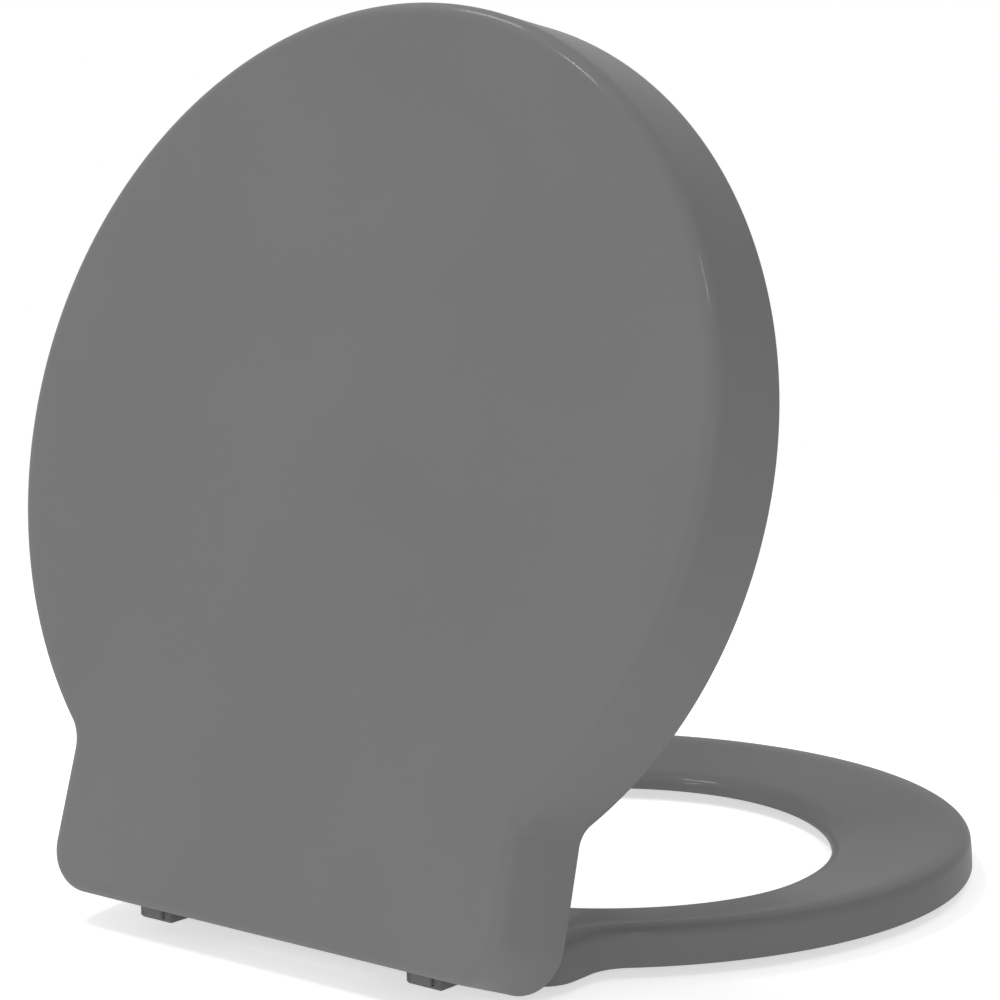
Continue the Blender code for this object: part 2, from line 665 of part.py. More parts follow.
def seat_rows():
    """Loops of the ring's section: up the outer wall, over the top, back underneath."""
    outer = SEAT_OUTLINE
    inner = hole_outline()

    def out(inset, height):
        return loop(outer, -inset, SEAT_BOTTOM + height)

    def near_hole(outset, height):
        return loop(inner, outset, SEAT_BOTTOM + height)

    def dished(share, lower=0.0):
        row = between(out(SEAT_SLOPE_INSET, 0), near_hole(SEAT_LIP_WIDTH, 0), share)
        return [v + Vector((0, 0, dish_height(share) - lower)) for v in row]

    shoulder = SEAT_CREST - SEAT_CREST_DROP / 2
    rows = [out(SEAT_LAND, 0), out(0, SEAT_LAND), out(SEAT_LEAN, shoulder - SEAT_EDGE_RADIUS)]
    edge_steps = 4
    for i in range(1, edge_steps + 1):
        turn = math.pi / 2 * i / edge_steps
        rows.append(out(SEAT_LEAN + SEAT_EDGE_RADIUS * (1 - math.cos(turn)),
                        shoulder - SEAT_EDGE_RADIUS * (1 - math.sin(turn))))
    rows.append(out(SEAT_CREST_INSET, SEAT_CREST))
    rows += [dished(share) for share in (0.0, 0.5, 1.0)]
    rows += [near_hole(*spot) for spot in lip_curve(4)]
    ceiling = SEAT_CREST - SEAT_SKIN
    corner = 0.0022                 # rounded corners inside the hollow
    rows += [near_hole(SEAT_LAND, 0), near_hole(SEAT_SKIN, 0),
             near_hole(SEAT_SKIN + SEAT_LEAN, SEAT_LIP - SEAT_SKIN - corner),
             near_hole(SEAT_SKIN + corner + SEAT_LEAN, SEAT_LIP - SEAT_SKIN - SEAT_LEAN)]
    rows += [dished(share, SEAT_SKIN) for share in (1.0, 0.0)]
    rows += [out(SEAT_SLOPE_INSET / 2, ceiling - SEAT_CREST_DROP),
             out(SEAT_SKIN + SEAT_LEAN, ceiling - corner),
             out(SEAT_SKIN, 0)]
    return rows


def rib_outline(length, outer_slant, inner_slant):
    """Side view of a rib from the outer wall (0) to the hole's wall (length)."""
    def from_outer(inset):
        return inset / outer_slant

    def from_hole(outset):
        return length - outset / inner_slant

    lift = 0.0012                   # the rib stays clear of the underside
    deep = SEAT_SKIN * 0.55         # the rib's edge runs in the middle of the skin
    return [(from_outer(deep), lift), (from_hole(deep), lift),
            (from_hole(deep + SEAT_LEAN), SEAT_LIP / 2),
            (from_hole(SEAT_LIP_WIDTH * 0.6), SEAT_LIP - deep - SEAT_LEAN),
            (from_hole(SEAT_LIP_WIDTH), dish_height(1.0) - deep),
            (from_outer(SEAT_SLOPE_INSET), dish_height(0.0) - deep),
            (from_outer(SEAT_LEAN + SEAT_EDGE_RADIUS), SEAT_CREST - deep - SEAT_CREST_DROP),
            (from_outer(deep + SEAT_LEAN), SEAT_CREST - deep - SEAT_EDGE_RADIUS / 2)]


def rib_mesh(outer, inner):
    start, end = Vector(outer[:2]), Vector(inner[:2])
    way = (end - start).normalized()
    outer_slant = abs(way.dot(Vector(outer[2:])))
    inner_slant = abs(way.dot(Vector(inner[2:])))
    outline = rib_outline((end - start).length, outer_slant, inner_slant)
    rib = slab(outline, -SEAT_RIB / 2, SEAT_RIB / 2)
    # the slab lies along "ahead"; swing it to run from the outer edge to the hole
    swing = math.atan2(-way.y, way.x) + math.pi / 2
    rib.transform(Matrix.Translation(point(start.x, start.y, SEAT_BOTTOM))
                  @ Matrix.Rotation(swing, 4, "Z"))
    return rib


def seat_ribs(ring):
    """Ribs all round under the ring, and two under the tab behind each lug."""
    ends = [(seat_edge(angle), hole_point(math.radians(90 - angle))) for angle in RIB_ANGLES]
    near, far = sorted(abs(v) for v in lug_spans(outer=False)["right"])
    for across in (near + SEAT_RIB, far - SEAT_RIB):
        _, ahead, nx, ny = hole_point(hole_turn_at(across))
        ends.append(((across, SEAT_REAR_AHEAD, 0, -1), (across, ahead, nx, ny)))
    ribs = []
    for right in ends:
        ribs.append(rib_mesh(*right))
        if right[0][0] > SEAT_RIB:
            ribs.append(rib_mesh(*[(-x, y, -nx, ny) for x, y, nx, ny in right]))
    join(ring, "seat_ribs", together(ribs), seat_pivot)


def seat_lug_outline():
    """Side view of the seat's lug, from the hinge line into the tab."""
    steps = 10
    points = []
    for i in range(steps + 1):
        turn = math.pi / 2 + math.radians(195) * i / steps
        points.append((LUG_RADIUS * math.cos(turn), LUG_RADIUS * math.sin(turn)))
    inside = SEAT_REAR_AHEAD + SEAT_SKIN / 2
    saddle = SEAT_REAR_AHEAD + 0.0090       # the lug's top runs out on the tab here
    return points + [(inside, SEAT_BOTTOM + SEAT_SKIN), (inside, SEAT_TOP - SEAT_EDGE_RADIUS),
                     (saddle + 0.0020, SEAT_TOP - SEAT_SKIN / 2),
                     (saddle, SEAT_TOP + SEAT_CREST_DROP),
                     (SEAT_REAR_AHEAD - 0.0050, LUG_RADIUS * 0.45),
                     (LUG_RADIUS * 0.62, LUG_RADIUS * 0.90)]


def seat_lugs(ring):
    spans = lug_spans(outer=False).values()
    lugs = [slab(seat_lug_outline(), *sorted(span)) for span in spans]
    join(ring, "seat_lugs", together(lugs), seat_pivot)
    lug_bores(ring, "seat_lug", spans, seat_pivot, 0.0)


def seat_buffer_places():
    x, y, nx, ny = hole_point(math.radians(90 - SEAT_FRONT_BUFFER_ANGLE))
    front = (x + nx * SEAT_BUFFER_OUTSET, y + ny * SEAT_BUFFER_OUTSET)
    return on_both_sides(front, (SEAT_REAR_BUFFER_ACROSS, SEAT_REAR_BUFFER_AHEAD))


def seat_buffer_seats(ring):
    """Bosses under the ring, each with a blind hole for a buffer's stem."""
    outer = SEAT_BUFFER_STEM + SEAT_BOSS_WALL
    hole = SEAT_BUFFER_STEM + CLEARANCE
    bosses = []
    for across, ahead in seat_buffer_places().values():
        top = dish_height_at(abs(across), ahead) - SEAT_SKIN / 2
        profile = [(0, top), (outer, top), (outer, 0), (hole, 0),
                   (hole, SEAT_BUFFER_STEM_LENGTH), (0, SEAT_BUFFER_STEM_LENGTH)]
        bosses.append(turned(profile, point(across, ahead, SEAT_BOTTOM), (0, 0, 1)))
    join(ring, "buffer_bosses", together(bosses), seat_pivot)


def seat_buffers():
    """Rubber feet with a stem pressed into the boss."""
    top = SEAT_BOTTOM - CLEARANCE
    low = SEAT_BOTTOM - SEAT_BUFFER_HEIGHT
    stem, stem_top = SEAT_BUFFER_STEM, SEAT_BOTTOM + SEAT_BUFFER_STEM_LENGTH - CLEARANCE
    wide, narrow = SEAT_BUFFER_RADIUS, SEAT_BUFFER_RADIUS - SEAT_BUFFER_DRAFT
    profile = [(0, stem_top), (stem - TURNED_EDGE, stem_top), (stem, stem_top - TURNED_EDGE),
               (stem, top), (wide - BUFFER_ROUND / 2, top), (wide, top - BUFFER_ROUND),
               (narrow, low + BUFFER_ROUND), (narrow - BUFFER_ROUND, low), (0, low)]
    for name, (across, ahead) in seat_buffer_places().items():
        mesh = turned(profile, point(across, ahead, 0), (0, 0, 1), BUFFER_SEGMENTS)
        add_piece("seat_buffer_" + name, mesh, seat_pivot, BUFFER_RUBBER)


# Hinges: a post each side with a steel pin through it

def post_outline():
    """Side view of a hinge post: a boss round the pin on a square foot."""
    first, swept, steps = 20, 150, 12
    points = []
    for i in range(steps + 1):
        turn = math.radians(first + swept * i / steps)
        points.append((POST_BOSS_RADIUS * math.cos(turn), POST_BOSS_RADIUS * math.sin(turn)))
    return points + [(-POST_BEHIND, POST_WAIST_BEHIND),
                     (-POST_BEHIND, POST_FOOT_ABOVE + POST_HEEL_CHAMFER),
                     (-POST_BEHIND + POST_HEEL_CHAMFER, POST_FOOT_ABOVE),
                     (POST_AHEAD - POST_FOOT_CHAMFER, POST_FOOT_ABOVE),
                     (POST_AHEAD, POST_FOOT_ABOVE + POST_FOOT_CHAMFER),
                     (POST_AHEAD, POST_WAIST_AHEAD)]


def catch_front():
    """Front end of the catch plate when the button is out."""
    return STUD_SOCKET_RADIUS - BUTTON_TRAVEL + CATCH_WEB


def pocket_front():
    return POST_AHEAD - POST_FRONT_WALL


def pocket_end():
    """Front end of the button's pocket, behind the stud's socket."""
    return BUTTON_POCKET_OVER - STUD_SOCKET_RADIUS


def hinge_post(side, mirror):
    """Post on the bowl, with a pin hole, a socket for the stud and the button's pocket."""
    middle = mirror * HINGE_ACROSS
    half = POST_WIDTH / 2
    post = add_piece(side + "_hinge_post", slab(post_outline(), middle - half, middle + half),
                     hinge_line, POST_PLASTIC)
    rounding = post.modifiers.new("Edges", "BEVEL")
    rounding.width = POST_EDGE
    rounding.segments = 1
    rounding.limit_method = "ANGLE"
    rounding.angle_limit = math.radians(60)
    cut(post, side + "_pin_hole",
        rod(PIN_RADIUS + CLEARANCE, point(middle - half - OVERCUT, 0, 0), (1, 0, 0),
            POST_WIDTH + 2 * OVERCUT), hinge_line)
    cut(post, side + "_stud_socket",
        rod(STUD_SOCKET_RADIUS, point(middle, 0, POST_FOOT_ABOVE - OVERCUT), (0, 0, 1),
            STUD_SOCKET_DEPTH + OVERCUT), hinge_line)
    wide = BUTTON_HALF_WIDTH + CLEARANCE
    high = BUTTON_HALF_HEIGHT + CLEARANCE
    cut(post, side + "_button_pocket",
        box((middle - wide, middle + wide), (-POST_BEHIND - OVERCUT, pocket_end()),
            (BUTTON_ABOVE - high, BUTTON_ABOVE + high)), hinge_line)
    slim = CATCH_HALF_HEIGHT + CLEARANCE
    cut(post, side + "_catch_slot",
        box((middle - wide, middle + wide), (-POST_BEHIND, pocket_front()),
            (BUTTON_ABOVE - slim, BUTTON_ABOVE + slim)), hinge_line)


def hinge_pin(side, mirror, flats_at):
    """Steel pin through the post; the end that drives a damper has two flats."""
    middle = mirror * HINGE_ACROSS
    reach = POST_WIDTH / 2 + PIN_REACH
    profile = [(0, 2 * reach), (PIN_RADIUS - TURNED_EDGE, 2 * reach),
               (PIN_RADIUS, 2 * reach - TURNED_EDGE), (PIN_RADIUS, TURNED_EDGE),
               (PIN_RADIUS - TURNED_EDGE, 0), (0, 0)]
    pin = add_piece(side + "_hinge_pin", turned(profile, point(middle - reach, 0, 0), (1, 0, 0)),
                    hinge_line, PIN_STEEL)
    start = middle + flats_at * (POST_WIDTH / 2 + PIN_ROUND_PART)
    end = middle + flats_at * (reach + OVERCUT)
    past = PIN_RADIUS + OVERCUT
    for above, name in ((1, "top"), (-1, "bottom")):
        cut(pin, "%s_pin_flat_%s" % (side, name),
            box(sorted((start, end)), (-past, past), sorted((above * PIN_FLAT, above * past))),
            hinge_line)


def release_button(side, mirror):
    """Push button with the sliding catch that grips the stud on the bowl."""
    middle = mirror * HINGE_ACROSS
    wide, high = BUTTON_HALF_WIDTH, BUTTON_HALF_HEIGHT
    head_front = pocket_end() - BUTTON_TRAVEL - CLEARANCE
    head = box((middle - wide, middle + wide), (-POST_BEHIND - BUTTON_PROUD, head_front),
               (BUTTON_ABOVE - high, BUTTON_ABOVE + high), BUTTON_EDGE)
    button = add_piece(side + "_release_button", head, hinge_line, BUTTON_PLASTIC)
    slim, thin = wide - CATCH_SIDE_STEP, CATCH_HALF_HEIGHT
    plate = box((middle - slim, middle + slim), (head_front - CATCH_ROOT, catch_front()),
                (BUTTON_ABOVE - thin, BUTTON_ABOVE + thin))
    join(button, side + "_catch_plate", plate, hinge_line)
    past = high + OVERCUT
    eye = rod(STUD_SOCKET_RADIUS - CATCH_BITE, point(middle, -BUTTON_TRAVEL, BUTTON_ABOVE - past),
              (0, 0, 1), 2 * past)
    cut(button, side + "_catch_eye", eye, hinge_line)


def button_spring(side, mirror):
    """Small coil spring between the catch plate and the front of its slot."""
    middle = mirror * HINGE_ACROSS
    start = catch_front() + CLEARANCE + SPRING_WIRE
    end = pocket_front() - CLEARANCE - SPRING_WIRE
    wire = bpy.data.curves.new("wire", "CURVE")
    wire.dimensions = "3D"
    wire.bevel_depth = SPRING_WIRE
    wire.bevel_resolution = 1
    wire.use_fill_caps = True
    line = wire.splines.new("POLY")
    count = SPRING_TURNS * SPRING_STEPS
    line.points.add(count)
    slim = CATCH_HALF_HEIGHT - SPRING_WIRE
    for i, knot in enumerate(line.points):
        turn = 2 * math.pi * i / SPRING_STEPS
        ahead = start + (end - start) * i / count
        knot.co = (*point(middle + SPRING_RADIUS * math.cos(turn), ahead,
                          BUTTON_ABOVE + slim * math.sin(turn)), 1)
    coil = bpy.data.objects.new("coil", wire)
    parts.objects.link(coil)
    bpy.context.view_layer.update()
    add_piece(side + "_button_spring", finished_mesh(coil), hinge_line, SPRING_STEEL)


# Dampers and bushes inside the lugs

def turned_in_lug(name, profile, span, parent, finish):
    """A turned piece whose profile runs from the mouth of a lug towards its end."""
    mouth, end = span
    way = 1 if end > mouth else -1
    return add_piece(name, turned(profile, point(mouth, 0, 0), (way, 0, 0)), parent, finish)


def barrel(name, span, parent, key_turn):
    """Damper housing: a cup in the lug with a key along one side."""
    depth = LUG_DEPTH - CLEARANCE
    near = CAP_THICKNESS + 2 * CLEARANCE
    outer = LUG_BORE - CLEARANCE
    inner = ROTOR_DRUM_RADIUS + RUNNING
    profile = [(0, depth), (outer - TURNED_EDGE, depth), (outer, depth - TURNED_EDGE),
               (outer, near), (inner, near), (inner, depth - BARREL_WALL),
               (0, depth - BARREL_WALL)]
    housing = turned_in_lug(name, profile, span, parent, DAMPER_PLASTIC)
    mouth, end = span
    way = 1 if end > mouth else -1
    along = sorted((mouth + way * near, mouth + way * (depth - KEY_SHORT)))
    key = box(along, (outer - BARREL_WALL / 2, outer + KEY_HEIGHT),
              (-KEY_HALF_WIDTH, KEY_HALF_WIDTH))
    key.transform(Matrix.Rotation(-key_turn, 4, "X"))
    join(housing, name + "_key", key, parent)


def barrel_cap(name, span, parent):
    """Ring that closes the housing round the rotor's neck."""
    outer, hole = LUG_BORE - CLEARANCE, ROTOR_NECK_RADIUS + RUNNING
    spigot = ROTOR_DRUM_RADIUS + RUNNING - CLEARANCE
    near, far = CLEARANCE, CLEARANCE + CAP_THICKNESS
    profile = [(hole, far + CAP_SPIGOT), (spigot, far + CAP_SPIGOT), (spigot, far),
               (outer, far), (outer, near + TURNED_EDGE), (outer - TURNED_EDGE, near),
               (hole, near)]
    turned_in_lug(name, profile, span, parent, DAMPER_PLASTIC)


def rotor(name, span):
    """Rotor of a damper, held still by the flats of the hinge pin."""
    depth = LUG_DEPTH - BARREL_WALL - 2 * CLEARANCE
    shoulder = CAP_THICKNESS + CAP_SPIGOT + 2 * CLEARANCE
    drum, neck = ROTOR_DRUM_RADIUS, ROTOR_NECK_RADIUS
    bore, bore_end = PIN_RADIUS + CLEARANCE, PIN_REACH + CLEARANCE
    profile = [(0, depth), (drum - TURNED_EDGE, depth), (drum, depth - TURNED_EDGE),
               (drum, shoulder), (neck, shoulder), (neck, CLEARANCE), (bore, CLEARANCE),
               (bore, bore_end), (0, bore_end)]
    turned_in_lug(name, profile, span, hinge_line, ROTOR_PLASTIC)


def bush(name, span, parent):
    """Plain sleeve that turns on the round end of the hinge pin."""
    depth = LUG_DEPTH - CLEARANCE
    outer, inner = LUG_BORE - CLEARANCE, PIN_RADIUS + RUNNING
    profile = [(inner, depth), (outer - TURNED_EDGE, depth), (outer, depth - TURNED_EDGE),
               (outer, CLEARANCE + TURNED_EDGE), (outer - TURNED_EDGE, CLEARANCE),
               (inner, CLEARANCE)]
    turned_in_lug(name, profile, span, parent, BUSH_PLASTIC)


# The whole seat

lid = lid_shell()
rear_cuts(lid)
lid_pegs(lid)
lid_lugs(lid)
lid_buffers()

seat = add_piece("seat_ring", outward(loft(seat_rows(), closed=True)), seat_pivot, SEAT_PLASTIC)
seat_ribs(seat)
seat_buffer_seats(seat)
seat_lugs(seat)
seat_buffers()

for post_side, post_mirror in (("left", -1), ("right", 1)):
    hinge_post(post_side, post_mirror)
    release_button(post_side, post_mirror)
    button_spring(post_side, post_mirror)
hinge_pin("left", -1, -1)
hinge_pin("right", 1, -1)

lid_lug, seat_lug = lug_spans(outer=True), lug_spans(outer=False)
barrel("lid_damper_housing", lid_lug["left"], lid_pivot, math.pi / 2)
barrel_cap("lid_damper_cap", lid_lug["left"], lid_pivot)
rotor("lid_damper_rotor", lid_lug["left"])
bush("lid_hinge_bush", lid_lug["right"], lid_pivot)
barrel("seat_damper_housing", seat_lug["right"], seat_pivot, 0.0)
barrel_cap("seat_damper_cap", seat_lug["right"], seat_pivot)
rotor("seat_damper_rotor", seat_lug["right"])
bush("seat_hinge_bush", seat_lug["left"], seat_pivot)
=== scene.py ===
import math

import bmesh
import bpy
from mathutils import Matrix, Vector


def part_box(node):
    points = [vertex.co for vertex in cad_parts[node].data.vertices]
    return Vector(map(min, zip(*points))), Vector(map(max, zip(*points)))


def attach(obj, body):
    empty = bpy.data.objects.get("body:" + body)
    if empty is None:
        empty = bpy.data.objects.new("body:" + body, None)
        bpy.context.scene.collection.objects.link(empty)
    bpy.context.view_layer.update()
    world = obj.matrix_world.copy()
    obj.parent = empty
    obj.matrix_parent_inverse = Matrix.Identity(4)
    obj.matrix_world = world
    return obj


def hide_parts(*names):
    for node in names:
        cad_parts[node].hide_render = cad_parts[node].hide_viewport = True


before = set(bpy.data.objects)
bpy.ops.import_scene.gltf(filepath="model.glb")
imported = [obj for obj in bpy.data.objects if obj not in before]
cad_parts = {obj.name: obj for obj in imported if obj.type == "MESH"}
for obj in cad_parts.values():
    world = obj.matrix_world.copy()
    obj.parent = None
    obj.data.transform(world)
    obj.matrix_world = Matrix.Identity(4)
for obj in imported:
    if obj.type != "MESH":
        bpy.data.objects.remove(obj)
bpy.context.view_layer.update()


# Lid.  One deep moulding in grey polypropylene: a flat face, a skirt all round it and a
# square tab at the back.  It hangs on two lugs that turn round the hinge pins, and rubber
# cups on four pegs inside keep it off the seat.
LID_HALF_WIDTH = 0.1850
LID_FRONT_REACH = 0.1858
LID_REAR_REACH = 0.1869
LID_WIDEST_AHEAD = 0.1960       # ahead of the hinge line
TAB_HALF_WIDTH = 0.12435
TAB_TAPER = 0.0253
TAB_REAR_BEHIND = 0.0103
TAB_CORNER_RADIUS = 0.0187
TAB_HOLLOW_RADIUS = 0.0162
LID_FACE_ABOVE = 0.0238
LID_DEPTH = 0.0398
LID_FLARE = 0.0034
LID_EDGE_RADIUS = 0.00675
LID_WALL = 0.0040
LID_RIM_ROUND = 0.0011
LID_INNER_ROUND = 0.0030
LID_FACE_LOOPS = (0.0060, 0.0012)           # in from the face's rounded edge
LID_CEILING_LOOPS = (0.0012, 0.0040)
LID_GREY = (0.185, 0.185, 0.188)
LID_OPEN_ANGLE = math.radians(74.2)
SKIRT_FULL_FROM = 0.1030
SKIRT_ABOVE = -0.0085
NOTCH_NEAR, NOTCH_FAR = 0.0370, 0.0844      # gaps in the rear wall, across
LUG_RADIUS = 0.0095
LUG_BORE = 0.0073
LUG_BORE_DEPTH = 0.0257
LUG_ROUND = 0.0007
LID_LUG = (0.0845, 0.1120)
LID_LUG_AHEAD, LID_LUG_BEHIND = 0.0150, 0.0070
PEG_RADIUS = 0.0055
PEG_ROOT_RADIUS, PEG_WAIST_RADIUS, PEG_SHOULDER_RADIUS = 0.0090, 0.0083, 0.0069
PEG_WAIST_BELOW = 0.0022
PEG_CHAMFER = 0.0005
SEAT_TOP = 0.0001                           # the seat's crest over the hinge line
RUBBER_PAD = 0.0032
RUBBER_SLEEVE = 0.0060
OVERCUT = 0.0010
CLEARANCE = 0.0003

pin_low, pin_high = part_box("left_hinge_pin")
HINGE_LINE = Vector((0, (pin_low.y + pin_high.y) / 2, (pin_low.z + pin_high.z) / 2))
CLOSED = Matrix.Translation(HINGE_LINE)
OPENED = CLOSED @ Matrix.Rotation(-LID_OPEN_ANGLE, 4, "X")


def arc(centre, radius, first, last, steps, hollow=False):
    """Points of an arc with outward normals, which face the centre on a hollow curve."""
    points = []
    for i in range(steps + 1):
        turn = math.radians(first + (last - first) * i / steps)
        along, up = math.cos(turn), math.sin(turn)
        side = -1 if hollow else 1
        points.append((centre[0] + radius * along, centre[1] + radius * up,
                       side * along, side * up))
    return points


def round_lid(turn):
    """Point and normal of the round lid; turn 0 is the right side, 90 the front."""
    reach = LID_FRONT_REACH if turn >= 0 else LID_REAR_REACH
    along, up = math.cos(math.radians(turn)), math.sin(math.radians(turn))
    normal = Vector((along / LID_HALF_WIDTH, up / reach)).normalized()
    return (LID_HALF_WIDTH * along, LID_WIDEST_AHEAD + reach * up, normal.x, normal.y)


def tab_side(ahead):
    return TAB_HALF_WIDTH - TAB_TAPER * (ahead + TAB_REAR_BEHIND)


def outline(rear_ahead, corner_radius, inset):
    """Outline inside the lid's, as (across, ahead, normal), counter-clockwise."""
    lean = math.atan(TAB_TAPER)
    low, high = -85.0, -10.0
    for _ in range(50):
        meeting = (low + high) / 2
        x, y, nx, ny = round_lid(meeting)
        centre = (x + TAB_HOLLOW_RADIUS * nx, y + TAB_HOLLOW_RADIUS * ny)
        if (centre[0] - tab_side(centre[1])) * math.cos(lean) > TAB_HOLLOW_RADIUS:
            high = meeting
        else:
            low = meeting
    corner_ahead = rear_ahead + corner_radius
    corner_across = tab_side(corner_ahead) - inset - corner_radius
    half = [(corner_across * i / 20, rear_ahead, 0, -1) for i in range(20)]
    half += arc((corner_across, corner_ahead), corner_radius, -90, math.degrees(lean), 20)
    for i in range(1, 6):
        ahead = corner_ahead + (centre[1] - corner_ahead) * i / 6
        half.append((tab_side(ahead) - inset, ahead, math.cos(lean), math.sin(lean)))
    end = math.degrees(math.atan2(y - centre[1], x - centre[0])) % 360
    half += arc(centre, TAB_HOLLOW_RADIUS + inset, 180 + math.degrees(lean), end, 18, True)
    for i in range(1, 101):
        x, y, nx, ny = round_lid(meeting + (90 - meeting) * i / 100)
        half.append((x - nx * inset, y - ny * inset, nx, ny))
    return half + [(-x, y, -nx, ny) for x, y, nx, ny in half[1:-1]][::-1]


def row(line, outset, above):
    """The outline moved out along its normals, at a height over the hinge line."""
    return [Vector((x + nx * outset, -y - ny * outset, above)) for x, y, nx, ny in line]


def settle(mesh):
    """Merge what lies on itself and turn every face outwards."""
    shape = bmesh.new()
    shape.from_mesh(mesh)
    bmesh.ops.remove_doubles(shape, verts=shape.verts, dist=1e-6)
    bmesh.ops.recalc_face_normals(shape, faces=shape.faces)
    shape.to_mesh(mesh)
    shape.free()


def new_piece(name, mesh):
    piece = bpy.data.objects.new(name, mesh)
    bpy.context.scene.collection.objects.link(piece)
    return piece


def skin(name, rows, ends):
    """A closed skin over loops of equal count; ends caps it, otherwise it is a ring."""
    count = len(rows[0])
    points = [place for one in rows for place in one]
    last = len(rows) - 1
    faces = []
    for low in range(last if ends else last + 1):
        high = (low + 1) % len(rows)
        for i in range(count):
            j = (i + 1) % count
            faces.append((low * count + i, high * count + i, high * count + j, low * count + j))
    if ends:
        faces.append(tuple(range(count)))
        faces.append(tuple(last * count + i for i in reversed(range(count))))
    mesh = bpy.data.meshes.new(name)
    mesh.from_pydata(points, [], faces)
    settle(mesh)
    return new_piece(name, mesh)


def only(*chosen):
    """Select these pieces and nothing else."""
    bpy.ops.object.select_all(action="DESELECT")
    for piece in chosen:
        piece.select_set(True)
    bpy.context.view_layer.objects.active = chosen[0]


def carve(piece, tools, operation="DIFFERENCE"):
    """Cut the tools away from the piece, or join them on, all at once."""
    if len(tools) > 1:
        only(*tools)
        bpy.ops.object.join()
    tool = tools[0]
    step = piece.modifiers.new("Carve", "BOOLEAN")
    step.solver = "EXACT"
    step.operation = operation
    step.object = tool
    only(piece)
    bpy.ops.object.modifier_apply(modifier=step.name)
    bpy.data.objects.remove(tool, do_unlink=True)


def block(across, ahead, above):
    """A block from its (low, high) spans about the hinge line."""
    bpy.ops.object.select_all(action="DESELECT")
    spans = (sorted(across), sorted((-ahead[0], -ahead[1])), sorted(above))
    bpy.ops.mesh.primitive_cube_add(size=1, location=[sum(s) / 2 for s in spans],
                                    scale=[s[1] - s[0] for s in spans])
    bpy.ops.object.transform_apply(location=True, rotation=True, scale=True)
    return bpy.context.object


def drum(radius, across):
    """A cylinder along the hinge line, between two distances across."""
    bpy.ops.object.select_all(action="DESELECT")
    low, high = sorted(across)
    bpy.ops.mesh.primitive_cylinder_add(vertices=64, radius=radius, depth=high - low,
                                        location=((low + high) / 2, 0, 0),
                                        rotation=(0, math.pi / 2, 0))
    bpy.ops.object.transform_apply(location=True, rotation=True, scale=True)
    return bpy.context.object


def plate(side_view, across):
    """A flat outline, (ahead, above), drawn at one side and extruded to the other."""
    low, high = sorted(across)
    mesh = bpy.data.meshes.new("plate")
    mesh.from_pydata([(low, -ahead, above) for ahead, above in side_view], [],
                     [tuple(range(len(side_view)))])
    piece = new_piece("plate", mesh)
    only(piece)
    bpy.ops.object.mode_set(mode="EDIT")
    bpy.ops.mesh.select_all(action="SELECT")
    bpy.ops.mesh.extrude_region_move(TRANSFORM_OT_translate={"value": (high - low, 0, 0)})
    bpy.ops.mesh.select_all(action="SELECT")
    bpy.ops.mesh.normals_make_consistent(inside=False)
    bpy.ops.object.mode_set(mode="OBJECT")
    settle(mesh)
    return piece


def soften(piece, width):
    """Round the sharp edges of a piece."""
    step = piece.modifiers.new("Soften", "BEVEL")
    step.width = width
    step.segments = 3
    step.limit_method = "ANGLE"
    step.angle_limit = math.radians(60)
    only(piece)
    bpy.ops.object.modifier_apply(modifier=step.name)
    return piece


def turned(profile, across, ahead, base=0.0, steps=48):
    """A turned piece on an upright line: profile of (radius, height) from axis to axis."""
    mesh = bpy.data.meshes.new("turned")
    mesh.from_pydata([(across + radius, -ahead, base + height) for radius, height in profile],
                     [(i, i + 1) for i in range(len(profile) - 1)], [])
    piece = new_piece("turned", mesh)
    only(piece)
    bpy.ops.object.mode_set(mode="EDIT")
    bpy.ops.mesh.select_all(action="SELECT")
    bpy.ops.mesh.spin(steps=steps, angle=2 * math.pi, center=(across, -ahead, 0),
                      axis=(0, 0, 1))
    bpy.ops.mesh.select_all(action="SELECT")
    bpy.ops.mesh.remove_doubles(threshold=1e-6)
    bpy.ops.mesh.normals_make_consistent(inside=False)
    bpy.ops.object.mode_set(mode="OBJECT")
    settle(mesh)
    return piece


def finish_piece(piece, name, place, material, body, replaced, angle=35):
    """Put a piece in its place, smooth it, give it its material and tie it to its body."""
    piece.name = name
    piece.data.name = name
    piece.data.transform(place)
    piece.data.materials.clear()
    piece.data.materials.append(material)
    only(piece)
    bpy.ops.object.shade_smooth_by_angle(angle=math.radians(angle))
    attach(piece, body)
    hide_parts(*replaced)


class Value:
    """A number that varies over a surface; arithmetic on it adds Math nodes."""

    def __init__(self, tree, socket):
        self.tree = tree
        self.socket = socket

    def maths(self, operation, first, second=0.0):
        made = self.tree.nodes.new("ShaderNodeMath")
        made.operation = operation
        for place, value in zip(made.inputs, (first, second)):
            if isinstance(value, Value):
                self.tree.links.new(value.socket, place)
            else:
                place.default_value = value
        return Value(self.tree, made.outputs[0])

    def __add__(self, other):
        return self.maths("ADD", self, other)

    def __sub__(self, other):
        return self.maths("SUBTRACT", self, other)

    def __mul__(self, other):
        return self.maths("MULTIPLY", self, other)

    def __radd__(self, other):
        return self.maths("ADD", other, self)

    def __rsub__(self, other):
        return self.maths("SUBTRACT", other, self)

    def __rmul__(self, other):
        return self.maths("MULTIPLY", other, self)


